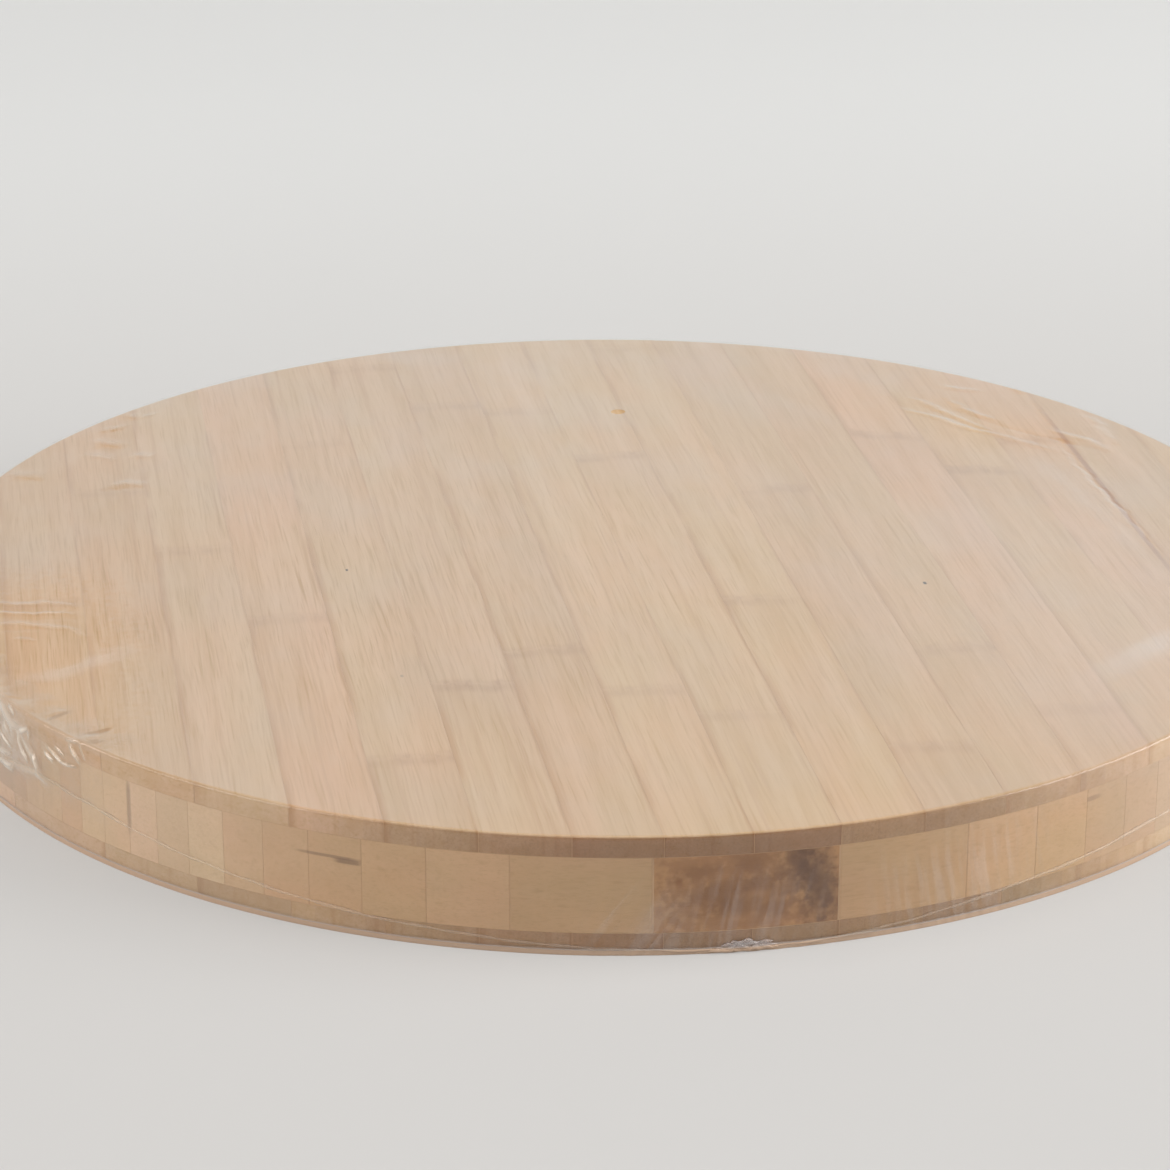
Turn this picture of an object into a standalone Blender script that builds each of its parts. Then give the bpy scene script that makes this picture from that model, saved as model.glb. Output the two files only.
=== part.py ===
"""Round three-ply bamboo cutting board, wrapped in clear shrink film.

Units are metres and +Z is up. The origin is at the centre of the film's underside, where
the wrapped board rests. The grain of the face plies runs along Y, that of the core along X.

The board is made as a workshop makes it. Bamboo strips are laid side by side into three
plies, flat in the faces and on edge in the core, each ply across the next. The glued
block is then trimmed round and flat in one cut, and its two rims are eased. The narrow
core strips come glued up in bundles, whose own glue lines show as grooves at the rim.
"""

import math
from dataclasses import dataclass

import bmesh
import bpy
from mathutils import Matrix, Vector

# The finished board
BOARD_DIAMETER = 0.350
FACE_PLY_THICKNESS = 0.0048
CORE_PLY_THICKNESS = 0.0182
RIM_EASE = 0.0005

# The strips: a line of glue lies between neighbours and between plies
FACE_STRIP_WIDTH = 0.0197
CORE_STRIP_WIDTH = 0.0064
GLUE_LINE = 0.0001

# Where one glue line of a ply lies, measured from the middle of the board
FACE_GLUE_OFFSET = 0.0013
CORE_GLUE_OFFSET = 0.0018

# The strips stand proud of the finished board by this much before it is trimmed
TRIM_ALLOWANCE = 0.002

# A strip that the trim would leave thinner than this is cut from one piece with its neighbour
LEAST_STRIP = 0.001

# Core strips come glued up in bundles of this many, with grooves this deep where they meet
CORE_BUNDLE = 3
GLUE_GROOVE_DEPTH = 0.0005

# The film, with the hole that lets the air out as it shrinks
FILM_THICKNESS = 0.0001
FILM_GAP = 0.0003
VENT_DIAMETER = 0.0041
VENT_CENTRE = (0.0194, 0.1052)

# How finely round shapes are faceted
RIM_STEPS = 180
EASE_STEPS = 2
VENT_STEPS = 24

# Places worked out from the sizes above
BOARD_RADIUS = BOARD_DIAMETER / 2
BOARD_BASE = FILM_THICKNESS + FILM_GAP
CORE_BASE = BOARD_BASE + FACE_PLY_THICKNESS + GLUE_LINE
CORE_TOP = CORE_BASE + CORE_PLY_THICKNESS
TOP_PLY_BASE = CORE_TOP + GLUE_LINE
BOARD_TOP = TOP_PLY_BASE + FACE_PLY_THICKNESS

# The angle over which an edge counts as a corner, between a facet's step and a right angle
CORNER_ANGLE = math.radians(50)


@dataclass(frozen=True)
class Ply:
    """One layer of strips: its name, its height, its strips and their grain and bundles."""

    name: str
    base: float
    top: float
    strip_width: float
    glue_offset: float
    grain_along_x: bool
    bundle_size: int
    material: bpy.types.Material


def clear_scene():
    """Remove everything that the new file starts with."""
    for obj in list(bpy.data.objects):
        bpy.data.objects.remove(obj)


def make_collection(name):
    collection = bpy.data.collections.new(name)
    bpy.context.scene.collection.children.link(collection)
    return collection


def make_material(name, colour, roughness, alpha=1.0):
    """A plain, non-metallic Principled BSDF."""
    material = bpy.data.materials.new(name)
    material.use_nodes = True
    shader = material.node_tree.nodes["Principled BSDF"]
    shader.inputs["Base Color"].default_value = (*colour, 1.0)
    shader.inputs["Roughness"].default_value = roughness
    shader.inputs["Metallic"].default_value = 0.0
    shader.inputs["Alpha"].default_value = alpha
    material.diffuse_color = (*colour, alpha)
    return material


def make_object(name, mesh_builder, collection, material=None):
    """An object whose bmesh is filled by mesh_builder, linked to the collection."""
    mesh = bpy.data.meshes.new(name)
    shape = bmesh.new()
    mesh_builder(shape)
    shape.to_mesh(mesh)
    shape.free()
    if material:
        mesh.materials.append(material)
    obj = bpy.data.objects.new(name, mesh)
    collection.objects.link(obj)
    return obj


def make_cutter(name, mesh_builder, collection):
    cutter = make_object(name, mesh_builder, collection)
    cutter.hide_render = True
    cutter.display_type = "WIRE"
    return cutter


def add_boolean(obj, operation, cutter):
    modifier = obj.modifiers.new(f"{operation.lower()} {cutter.name}", "BOOLEAN")
    modifier.operation = operation
    modifier.solver = "EXACT"
    modifier.object = cutter


def ease_rims(obj, radius):
    """Round the two circular corners of a disc."""
    bevel = obj.modifiers.new("eased rims", "BEVEL")
    bevel.width = radius
    bevel.segments = EASE_STEPS
    bevel.limit_method = "ANGLE"
    bevel.angle_limit = CORNER_ANGLE


def disc(radius, base, top):
    """A builder for an upright round disc between two heights."""

    def build(shape):
        bmesh.ops.create_cone(
            shape,
            cap_ends=True,
            segments=RIM_STEPS,
            radius1=radius,
            radius2=radius,
            depth=top - base,
            matrix=Matrix.Translation((0, 0, (base + top) / 2)),
        )

    return build


def boxes(sizes, centres):
    """A builder for upright boxes: one for each size and centre."""

    def build(shape):
        for size, centre in zip(sizes, centres):
            placing = Matrix.Translation(centre) @ Matrix.Diagonal((*size, 1))
            bmesh.ops.create_cube(shape, size=1, matrix=placing)

    return build


def strips_outward(ply, side):
    """The near and far face of each strip, from the ply's middle glue line out to one rim."""
    pitch = ply.strip_width + GLUE_LINE
    first_line = side * ply.glue_offset
    line_count = math.floor((BOARD_RADIUS - LEAST_STRIP - first_line) / pitch)
    lines = [first_line + pitch * number for number in range(line_count + 1)]
    nears = [line + GLUE_LINE / 2 for line in lines]
    fars = [line - GLUE_LINE / 2 for line in lines[1:]] + [BOARD_RADIUS + TRIM_ALLOWANCE]
    return [(side * near, side * far) for near, far in zip(nears, fars)]


def bundles_outward(ply, side):
    """The strips on one side of a ply, in the groups that are each one piece."""
    strips = strips_outward(ply, side)
    size = ply.bundle_size
    return [strips[start:start + size] for start in range(0, len(strips), size)]


def turned(vector, along_x):
    """A size or place given across, along and up from the grain, in the board's own axes."""
    across, along, up = vector
    return (along, across, up) if along_x else (across, along, up)


def make_groove_cutter(name, bundle, ply, cutters):
    """A thin box at either end of each glue line inside a bundle."""
    groove_floor = BOARD_RADIUS - GLUE_GROOVE_DEPTH
    outside = BOARD_RADIUS + TRIM_ALLOWANCE
    sizes = []
    centres = []
    for inner, outer in zip(bundle, bundle[1:]):
        line = (inner[1] + outer[0]) / 2
        floor = math.sqrt(groove_floor**2 - line**2)
        for end in (-1, 1):
            size = (GLUE_LINE, outside - floor, ply.top - ply.base + TRIM_ALLOWANCE)
            centre = (line, end * (outside + floor) / 2, (ply.base + ply.top) / 2)
            sizes.append(turned(size, ply.grain_along_x))
            centres.append(turned(centre, ply.grain_along_x))
    return make_cutter(f"{name}_grooves", boxes(sizes, centres), cutters)


def lay_piece(name, bundle, ply, collection, cutters, round_trim):
    """One strip or bundle, sawn over size, trimmed to the finished board and grooved."""
    near = bundle[0][0]
    far = bundle[-1][1]
    plank = (abs(far - near), BOARD_DIAMETER + 2 * TRIM_ALLOWANCE, ply.top - ply.base)
    shape = boxes([turned(plank, ply.grain_along_x)], [(0, 0, 0)])
    piece = make_object(name, shape, collection, ply.material)
    piece.location = turned(((near + far) / 2, 0, 0), ply.grain_along_x)
    add_boolean(piece, "INTERSECT", round_trim)
    if len(bundle) > 1:
        add_boolean(piece, "DIFFERENCE", make_groove_cutter(name, bundle, ply, cutters))
    return piece


def lay_ply(ply, collection, cutters, round_trim):
    """Lay a ply's strips side by side, counted out from its middle glue line to either rim."""
    ply_mid = bpy.data.objects.new(f"{ply.name}_ply", None)
    ply_mid.location.z = (ply.base + ply.top) / 2
    collection.objects.link(ply_mid)
    side_names = ("front", "back") if ply.grain_along_x else ("left", "right")
    for side, side_name in zip((-1, 1), side_names):
        for number, bundle in enumerate(bundles_outward(ply, side), 1):
            name = f"{ply.name}_{side_name}_{number:02d}"
            piece = lay_piece(name, bundle, ply, collection, cutters, round_trim)
            piece.parent = ply_mid


def wrap_film(collection, cutters, material):
    """A clear skin that follows the finished board at a small gap, open at its vent."""
    film = make_object(
        "shrink_film",
        disc(BOARD_RADIUS + FILM_GAP, BOARD_BASE - FILM_GAP, BOARD_TOP + FILM_GAP),
        collection,
        material,
    )
    ease_rims(film, RIM_EASE + FILM_GAP)
    skin = film.modifiers.new("film thickness", "SOLIDIFY")
    skin.thickness = FILM_THICKNESS
    skin.offset = 1
    skin.use_even_offset = True

    def vent_shape(shape):
        bmesh.ops.create_cone(
            shape,
            cap_ends=True,
            segments=VENT_STEPS,
            radius1=VENT_DIAMETER / 2,
            radius2=VENT_DIAMETER / 2,
            depth=2 * (FILM_GAP + FILM_THICKNESS),
        )

    vent = make_cutter("vent_hole", vent_shape, cutters)
    vent.location = Vector((*VENT_CENTRE, BOARD_TOP + FILM_GAP + FILM_THICKNESS / 2))
    add_boolean(film, "DIFFERENCE", vent)
    film.data.shade_smooth()
    film.data.set_sharp_from_angle(angle=CORNER_ANGLE)
    return film


def main():
    clear_scene()
    board_parts = make_collection("round_cutting_board")
    cutters = make_collection("cutters")

    face_bamboo = make_material("face_bamboo", (0.70, 0.52, 0.34), 0.45)
    core_bamboo = make_material("core_bamboo", (0.56, 0.38, 0.23), 0.50)
    clear_film = make_material("clear_film", (0.92, 0.92, 0.90), 0.08, alpha=0.15)

    round_trim = make_cutter("round_trim", disc(BOARD_RADIUS, BOARD_BASE, BOARD_TOP), cutters)
    ease_rims(round_trim, RIM_EASE)

    proud_top = BOARD_TOP + TRIM_ALLOWANCE
    proud_base = BOARD_BASE - TRIM_ALLOWANCE
    face = (FACE_STRIP_WIDTH, FACE_GLUE_OFFSET, False, 1, face_bamboo)
    core = (CORE_STRIP_WIDTH, CORE_GLUE_OFFSET, True, CORE_BUNDLE, core_bamboo)
    plies = (
        Ply("bottom_strip", proud_base, CORE_BASE - GLUE_LINE, *face),
        Ply("core_strips", CORE_BASE, CORE_TOP, *core),
        Ply("top_strip", TOP_PLY_BASE, proud_top, *face),
    )
    for ply in plies:
        lay_ply(ply, board_parts, cutters, round_trim)
    wrap_film(board_parts, cutters, clear_film)


main()
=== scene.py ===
"""The looks of a round three-ply bamboo cutting board that is still in its clear shrink film.

The board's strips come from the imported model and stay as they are: here each one gets its own
bamboo. The film, its weld seam and its gathered end are modelled here, because the solid film is
a plain skin. So is the glue that shows as hair lines between the strips.

Units are metres, and +Z is up. The face plies' grain runs along Y and the core's along X.
A place round the rim is an angle in degrees from the point nearest the camera, -Y, and grows
to the right.
"""

import logging
import math
import random
from abc import ABC, abstractmethod
from dataclasses import dataclass, field, replace
from enum import Enum
from typing import Callable, Mapping, Optional, Sequence, Union

import bmesh
import bpy
import numpy as np
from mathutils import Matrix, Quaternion, Vector, noise


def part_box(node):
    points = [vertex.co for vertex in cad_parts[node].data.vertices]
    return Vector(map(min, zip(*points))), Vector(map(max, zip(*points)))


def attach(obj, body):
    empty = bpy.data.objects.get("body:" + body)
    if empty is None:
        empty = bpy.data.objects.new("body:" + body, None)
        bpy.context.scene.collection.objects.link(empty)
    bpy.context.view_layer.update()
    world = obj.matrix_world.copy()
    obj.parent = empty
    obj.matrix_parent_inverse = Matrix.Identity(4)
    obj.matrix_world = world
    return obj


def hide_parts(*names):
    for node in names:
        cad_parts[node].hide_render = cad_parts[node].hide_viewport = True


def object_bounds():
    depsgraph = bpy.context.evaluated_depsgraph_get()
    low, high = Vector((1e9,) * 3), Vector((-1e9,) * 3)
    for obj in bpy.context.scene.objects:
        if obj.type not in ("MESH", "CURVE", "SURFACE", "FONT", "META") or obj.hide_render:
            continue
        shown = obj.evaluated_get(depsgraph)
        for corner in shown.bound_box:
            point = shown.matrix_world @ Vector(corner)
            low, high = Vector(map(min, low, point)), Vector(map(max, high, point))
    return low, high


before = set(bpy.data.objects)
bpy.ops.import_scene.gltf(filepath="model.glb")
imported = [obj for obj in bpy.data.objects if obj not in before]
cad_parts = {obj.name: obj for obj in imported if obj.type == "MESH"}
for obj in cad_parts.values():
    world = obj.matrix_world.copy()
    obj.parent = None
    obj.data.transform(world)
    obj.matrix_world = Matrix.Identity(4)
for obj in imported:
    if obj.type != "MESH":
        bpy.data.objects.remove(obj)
CAD_LOW, CAD_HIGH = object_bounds()

log = logging.getLogger("cutting_board")

MM = 0.001

# The film's own tone at each of its points: hazy above 0, clear below; along the creases of the loose film
# at the left the haze is painted highlight
FILM_TONE = "film_tone"

# How many core strips make a bundle, and how wide a joint is
BUNDLE = 3
GLUE_LINE = 0.0001

# Where the seeds of the pieces' own noise lie, from 0
SEED_SPAN = 9

# Sizes of the board that the imported model gives
BOARD_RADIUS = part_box("core_strips_front_01")[1].x
BOARD_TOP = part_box("top_strip_left_01")[1].z
TOP_PLY_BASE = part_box("top_strip_left_01")[0].z
CORE_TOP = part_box("core_strips_front_01")[1].z
CORE_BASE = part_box("core_strips_front_01")[0].z
BOTTOM_PLY_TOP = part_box("bottom_strip_left_01")[1].z
BOARD_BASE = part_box("bottom_strip_left_01")[0].z

Colour = tuple[float, float, float, float]
Socket = bpy.types.NodeSocket
Sockets = Mapping[str, Socket]
Feed = Union[float, Sequence[float], Socket]
Inputs = Mapping[Union[str, int], Feed]
Faces = bmesh.types.BMesh
Material = bpy.types.Material


def tint(red: int, green: int, blue: int) -> Colour:
    """Turn a colour as a screen shows it into the linear colour that a shader takes.

    Args:
        red: Red, 0 to 255.
        green: Green, 0 to 255.
        blue: Blue, 0 to 255.

    Returns:
        The linear colour, opaque.
    """

    def linear(level: int) -> float:
        """Undo the screen's curve for one channel."""
        share = level / 255
        return share / 12.92 if share <= 0.04045 else ((share + 0.055) / 1.055) ** 2.4

    return (linear(red), linear(green), linear(blue), 1.0)


def rim_point(angle: float, height: float, radius: float) -> Vector:
    """Give the place at an angle round the rim.

    Args:
        angle: Degrees from the front, positive to the right.
        height: Height over the floor.
        radius: Distance from the board's axis.

    Returns:
        The place in the board's axes.
    """
    turn = math.radians(angle)
    return Vector((radius * math.sin(turn), -radius * math.cos(turn), height))


def quarter_turn(steps: int) -> list[tuple[float, float]]:
    """List the sine and cosine at even steps through a right angle."""
    turns = [math.pi / 2 * step / steps for step in range(steps + 1)]
    return [(math.sin(turn), math.cos(turn)) for turn in turns]


class Shape(Enum):
    """Kinds of socket on an effect."""

    NUMBER = "NodeSocketFloat"
    VECTOR = "NodeSocketVector"
    COLOUR = "NodeSocketColor"


class Wiring:
    """A node tree while it is wired, with a short call for each kind of node it holds."""

    def __init__(self, tree: bpy.types.NodeTree) -> None:
        """Keep the tree that the nodes go into."""
        self.tree = tree

    def feed(self, socket: Socket, value: Feed) -> None:
        """Link a socket to another one, or set its value.

        Args:
            socket: The socket that is fed.
            value: The socket or the value that it gets.
        """
        if isinstance(value, bpy.types.NodeSocket):
            self.tree.links.new(value, socket)
        else:
            socket.default_value = value

    def feed_all(self, node: bpy.types.Node, inputs: Inputs) -> None:
        """Feed several sockets of a node, by their names or numbers.

        Args:
            node: The node.
            inputs: What goes into its sockets.
        """
        for key, value in inputs.items():
            self.feed(node.inputs[key], value)

    def node(self, kind: str, inputs: Optional[Inputs] = None, **settings: object) -> bpy.types.Node:
        """Add a node.

        Args:
            kind: The node's type without its "ShaderNode" start.
            inputs: What goes into its sockets, by their names or numbers.
            **settings: The node's own settings.

        Returns:
            The new node.
        """
        made = self.tree.nodes.new(f"ShaderNode{kind}")
        for name, value in settings.items():
            setattr(made, name, value)
        self.feed_all(made, inputs or {})
        return made

    def math(self, operation: str, *values: Feed, clamp: bool = False) -> Socket:
        """Work out a number from up to three others."""
        return self.node("Math", dict(enumerate(values)), operation=operation, use_clamp=clamp).outputs[0]

    def times(self, first: Feed, second: Feed) -> Socket:
        """Multiply two numbers."""
        return self.math("MULTIPLY", first, second)

    def plus(self, first: Feed, second: Feed, clamp: bool = False) -> Socket:
        """Add two numbers."""
        return self.math("ADD", first, second, clamp=clamp)

    def less(self, first: Feed, second: Feed, clamp: bool = False) -> Socket:
        """Take the second number from the first."""
        return self.math("SUBTRACT", first, second, clamp=clamp)

    def most(self, first: Feed, second: Feed) -> Socket:
        """Take the greater of two numbers."""
        return self.math("MAXIMUM", first, second)

    def vector(self, operation: str, *values: Feed) -> Socket:
        """Work out a vector, or a number for a length or dot product."""
        made = self.node("VectorMath", dict(enumerate(values)), operation=operation)
        return made.outputs["Value" if operation in ("LENGTH", "DOT_PRODUCT") else "Vector"]

    def split(self, vector: Feed) -> tuple[Socket, Socket, Socket]:
        """Take a vector apart into its three numbers."""
        made = self.node("SeparateXYZ", {"Vector": vector})
        return made.outputs["X"], made.outputs["Y"], made.outputs["Z"]

    def join(self, x: Feed, y: Feed, z: Feed) -> Socket:
        """Make a vector of three numbers."""
        return self.node("CombineXYZ", {"X": x, "Y": y, "Z": z}).outputs["Vector"]

    def noise(
        self, vector: Feed, stretch: Sequence[float], detail: float = 2.0, rough: float = 0.5
    ) -> Socket:
        """Smooth noise from 0 to 1, with so many features per metre along each axis."""
        inputs = {"Vector": self.vector("MULTIPLY", vector, stretch), "Detail": detail, "Roughness": rough}
        return self.node("TexNoise", {**inputs, "Scale": 1.0}).outputs["Fac"]

    def ease(self, value: Feed, low: Feed, high: Feed) -> Socket:
        """Go smoothly from 0 where the value is low to 1 where it is high."""
        inputs = {"Value": value, "From Min": low, "From Max": high}
        return self.node("MapRange", inputs, interpolation_type="SMOOTHSTEP").outputs["Result"]

    def mix(self, share: Feed, first: Feed, second: Feed, way: str = "MIX") -> Socket:
        """Mix two colours."""
        inputs = {0: share, 6: first, 7: second}
        return self.node("Mix", inputs, data_type="RGBA", blend_type=way).outputs[2]

    def bump(self, height: Feed, strength: float, depth: float) -> Socket:
        """Tilt the surface's normal as the height says."""
        inputs = {"Height": height, "Strength": strength, "Distance": depth}
        return self.node("Bump", inputs).outputs["Normal"]


class Effect(ABC):
    """A shader node group: built on its first use, then placed in any number of materials."""

    NAME: str
    INPUTS: Mapping[str, Shape]
    OUTPUTS: Mapping[str, Shape]

    @classmethod
    @abstractmethod
    def wire(cls, wiring: Wiring, given: Sockets) -> Sockets:
        """Wire the group's inside.

        Args:
            wiring: The group's tree.
            given: The group's inputs, by name.

        Returns:
            What goes to each of the group's outputs, by name.
        """

    @classmethod
    def tree(cls) -> bpy.types.NodeTree:
        """Find the group, or build it.

        Returns:
            The group's node tree.
        """
        known = bpy.data.node_groups.get(cls.NAME)
        if known:
            return known
        group = bpy.data.node_groups.new(cls.NAME, "ShaderNodeTree")
        for ports, side in ((cls.INPUTS, "INPUT"), (cls.OUTPUTS, "OUTPUT")):
            for name, shape in ports.items():
                group.interface.new_socket(name=name, in_out=side, socket_type=shape.value)
        wiring = Wiring(group)
        source = group.nodes.new("NodeGroupInput")
        target = group.nodes.new("NodeGroupOutput")
        results = cls.wire(wiring, {name: source.outputs[name] for name in cls.INPUTS})
        wiring.feed_all(target, results)
        return group

    @classmethod
    def place(cls, wiring: Wiring, **values: Feed) -> Sockets:
        """Place the group in a material.

        Args:
            wiring: The material's tree.
            **values: What goes into the group's inputs, with _ for a space in a name.

        Returns:
            The group's outputs, by name.
        """
        made = wiring.node("Group", node_tree=cls.tree())
        for name, value in values.items():
            wiring.feed(made.inputs[name.replace("_", " ")], value)
        return {name: made.outputs[name] for name in cls.OUTPUTS}


class Fibre(Effect):
    """The fibres of a bamboo strip: dark dashes, pale ones, and slow changes of tone."""

    NAME = "bamboo_fibre"
    INPUTS = {
        "Place": Shape.VECTOR, "Seed": Shape.NUMBER, "Ground": Shape.COLOUR, "Dark": Shape.COLOUR,
        "Pale": Shape.COLOUR, "Strength": Shape.NUMBER,
    }
    OUTPUTS = {"Colour": Shape.COLOUR, "Height": Shape.NUMBER, "Roughness": Shape.NUMBER}
    WAVER = 0.9 * MM
    PINK = (1.022, 0.992, 0.994, 1)
    GREEN = (0.978, 0.992, 0.972, 1)

    @classmethod
    def wire(cls, wiring: Wiring, given: Sockets) -> Sockets:
        """Lay fine dashes over broad streaks, all drawn out along the place's Y.

        Args:
            wiring: The group's tree.
            given: The group's inputs, by name.

        Returns:
            The group's outputs, by name.
        """
        seeds = wiring.join(given["Seed"], given["Seed"], given["Seed"])
        straight = wiring.vector("MULTIPLY_ADD", seeds, (7.31, 3.17, 5.71), given["Place"])
        across, along, depth = wiring.split(straight)
        waver = wiring.less(wiring.noise(straight, (90, 40, 90), 2.0), 0.5)
        place = wiring.join(wiring.math("MULTIPLY_ADD", waver, cls.WAVER, across), along, depth)
        hairs = wiring.noise(place, (2500, 62, 2500), 2.0, 0.6)
        dashes = wiring.noise(place, (1150, 30, 1150), 1.5, 0.5)
        streaks = wiring.noise(place, (240, 8, 240), 3.0, 0.6)
        mottle = wiring.noise(place, (45, 16, 45), 2.0, 0.5)
        hair_dark = wiring.ease(hairs, 0.48, 0.76)
        dash_dark = wiring.ease(dashes, 0.52, 0.82)
        dark = wiring.most(wiring.times(hair_dark, 0.8), dash_dark)
        pale = wiring.ease(wiring.noise(place, (1300, 42, 1300), 1.0, 0.5), 0.50, 0.78)
        broad = wiring.mix(wiring.ease(streaks, 0.25, 0.78), given["Ground"], given["Pale"])
        warm = wiring.mix(wiring.ease(mottle, 0.35, 0.65), cls.PINK, cls.GREEN)
        toned = wiring.mix(1.0, broad, warm, "MULTIPLY")
        dark_share = wiring.times(dark, given["Strength"])
        pale_share = wiring.times(pale, wiring.times(given["Strength"], 0.8))
        dashed = wiring.mix(dark_share, toned, given["Dark"])
        colour = wiring.mix(pale_share, dashed, given["Pale"])
        height = wiring.less(1.0, dark)
        roughness = wiring.math("MULTIPLY_ADD", dark, 0.14, 0.44)
        return {"Colour": colour, "Height": height, "Roughness": roughness}


class KnuckleBand(Effect):
    """The scar of a knuckle across one strip: a wavy dark line with a pale edge and flecks."""

    NAME = "bamboo_knuckle"
    INPUTS = {
        "Place": Shape.VECTOR, "Station": Shape.NUMBER, "Slope": Shape.NUMBER, "Seed": Shape.NUMBER,
        "Strength": Shape.NUMBER, "Colour": Shape.COLOUR, "Scar": Shape.COLOUR, "Pale": Shape.COLOUR,
    }
    OUTPUTS = {"Colour": Shape.COLOUR, "Dip": Shape.NUMBER}
    WANDER = 5.0 * MM

    @classmethod
    def wire(cls, wiring: Wiring, given: Sockets) -> Sockets:
        """Draw the band round a line that wanders across the place's X.

        Args:
            wiring: The group's tree.
            given: The group's inputs, by name.

        Returns:
            The group's outputs, by name.
        """
        across, along, depth = wiring.split(given["Place"])
        sample = wiring.join(across, given["Seed"], depth)
        wander = wiring.less(wiring.noise(sample, (150, 1, 150), 2.0), 0.5)
        slope = wiring.times(across, given["Slope"])
        middle = wiring.plus(given["Station"], slope)
        line = wiring.math("MULTIPLY_ADD", wander, cls.WANDER, middle)
        off = wiring.less(along, line)
        distance = wiring.math("ABSOLUTE", off)
        fleck_noise = wiring.noise(wiring.join(across, along, given["Seed"]), (620, 300, 1), 2.0, 0.65)
        patchy = wiring.ease(wiring.noise(sample, (260, 1, 260), 1.0), 0.36, 0.62)
        torn = wiring.ease(fleck_noise, 0.44, 0.60)
        core = wiring.times(wiring.ease(distance, 1.2 * MM, 0.1 * MM), patchy)
        scar = wiring.times(wiring.times(core, torn), 0.55)
        near = wiring.ease(distance, 5.0 * MM, 1.2 * MM)
        flecks = wiring.times(near, wiring.ease(fleck_noise, 0.47, 0.60))
        beyond = wiring.times(wiring.ease(off, 1 * MM, -1 * MM), wiring.ease(off, -60 * MM, 0))
        smudge = wiring.times(near, wiring.math("MULTIPLY_ADD", patchy, 0.30, 0.18))
        halo = wiring.math("MULTIPLY_ADD", beyond, 0.16, smudge)
        fleck_share = wiring.times(flecks, wiring.math("MULTIPLY_ADD", patchy, 0.45, 0.35))
        mark = wiring.most(scar, fleck_share)
        mark = wiring.most(mark, halo)
        edge_distance = wiring.math("ABSOLUTE", wiring.less(off, 1.5 * MM))
        edge = wiring.times(wiring.ease(edge_distance, 1.1 * MM, 0.0), 0.7)
        mark_share = wiring.times(mark, given["Strength"])
        edge_share = wiring.times(edge, given["Strength"])
        edged = wiring.mix(edge_share, given["Colour"], given["Pale"])
        colour = wiring.mix(mark_share, edged, given["Scar"])
        return {"Colour": colour, "Dip": mark}


class StripEdges(Effect):
    """Glue that has stained a strip along its two long edges, and a few long dark streaks."""

    NAME = "bamboo_strip_edges"
    INPUTS = {
        "Place": Shape.VECTOR, "Left": Shape.NUMBER, "Right": Shape.NUMBER, "Seed": Shape.NUMBER,
        "Colour": Shape.COLOUR, "Strength": Shape.NUMBER,
    }
    OUTPUTS = {"Colour": Shape.COLOUR}
    STAIN = tint(186, 143, 99)

    @classmethod
    def wire(cls, wiring: Wiring, given: Sockets) -> Sockets:
        """Stain both edges where a slow noise along the strip says so.

        Args:
            wiring: The group's tree.
            given: The group's inputs, by name.

        Returns:
            The group's outputs, by name.
        """
        across, along, _ = wiring.split(given["Place"])
        left_noise = wiring.noise(wiring.join(given["Seed"], along, 0.3), (1, 26, 1), 2.0)
        right_noise = wiring.noise(wiring.join(given["Seed"], along, 5.9), (1, 26, 1), 2.0)
        by_left = wiring.ease(wiring.less(across, given["Left"]), 2.2 * MM, 0.1 * MM)
        by_right = wiring.ease(wiring.less(given["Right"], across), 0.9 * MM, 0.1 * MM)
        left = wiring.times(by_left, wiring.ease(left_noise, 0.40, 0.62))
        right = wiring.times(by_right, wiring.ease(right_noise, 0.40, 0.62))
        streak_noise = wiring.noise(wiring.join(across, along, given["Seed"]), (560, 9, 1), 1.5)
        streaks = wiring.times(wiring.ease(streak_noise, 0.56, 0.74), 0.45)
        stained = wiring.most(wiring.most(left, right), streaks)
        share = wiring.times(stained, given["Strength"])
        return {"Colour": wiring.mix(share, given["Colour"], cls.STAIN)}


class EndGrainAndEaseShade(Effect):
    """The cut ends of the fibres, darker and dotted where a face lies across the grain, with painted shade
    on the eased rims.
    """

    NAME = "bamboo_end_grain_and_ease_shade"
    INPUTS = {
        "Place": Shape.VECTOR, "Normal": Shape.VECTOR, "Grain": Shape.VECTOR, "Colour": Shape.COLOUR,
        "Shade": Shape.COLOUR,
    }
    OUTPUTS = {"Colour": Shape.COLOUR}
    DOTS = (0.16, 0.095, 0.05, 1)
    EASE_PAINTED_SHADE = (0.5, 0.46, 0.43, 1)

    @classmethod
    def wire(cls, wiring: Wiring, given: Sockets) -> Sockets:
        """Darken the colour as far as the face is an end, and lay painted shade a little on the eased rims.

        Args:
            wiring: The group's tree.
            given: The group's inputs, by name.

        Returns:
            The group's outputs, by name.
        """
        across, _, depth = wiring.split(given["Place"])
        flat = wiring.join(across, 0.0, depth)
        bundles = wiring.noise(flat, (1900, 1, 1900), 1.0, 0.5)
        dots = wiring.ease(bundles, 0.46, 0.70)
        shaded = wiring.mix(1.0, given["Colour"], given["Shade"], "MULTIPLY")
        dotted = wiring.mix(wiring.times(dots, 0.18), shaded, cls.DOTS)
        x, y, z = wiring.split(given["Normal"])
        level = wiring.vector("LENGTH", wiring.join(x, y, 0.0))
        along = wiring.math("ABSOLUTE", wiring.vector("DOT_PRODUCT", given["Normal"], given["Grain"]))
        endward = wiring.math("DIVIDE", along, wiring.most(level, 0.05))
        share = wiring.times(wiring.ease(endward, 0.80, 1.0), wiring.ease(level, 0.2, 0.6))
        ended = wiring.mix(share, given["Colour"], dotted)
        # Painted shade: the eased rims catch more light than the faces beside them, so they are darkened by
        # how far they slant
        slant = wiring.times(level, wiring.math("ABSOLUTE", z))
        with_ease_shade = wiring.mix(wiring.times(slant, 0.8), ended, cls.EASE_PAINTED_SHADE, "MULTIPLY")
        return {"Colour": with_ease_shade}


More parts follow.
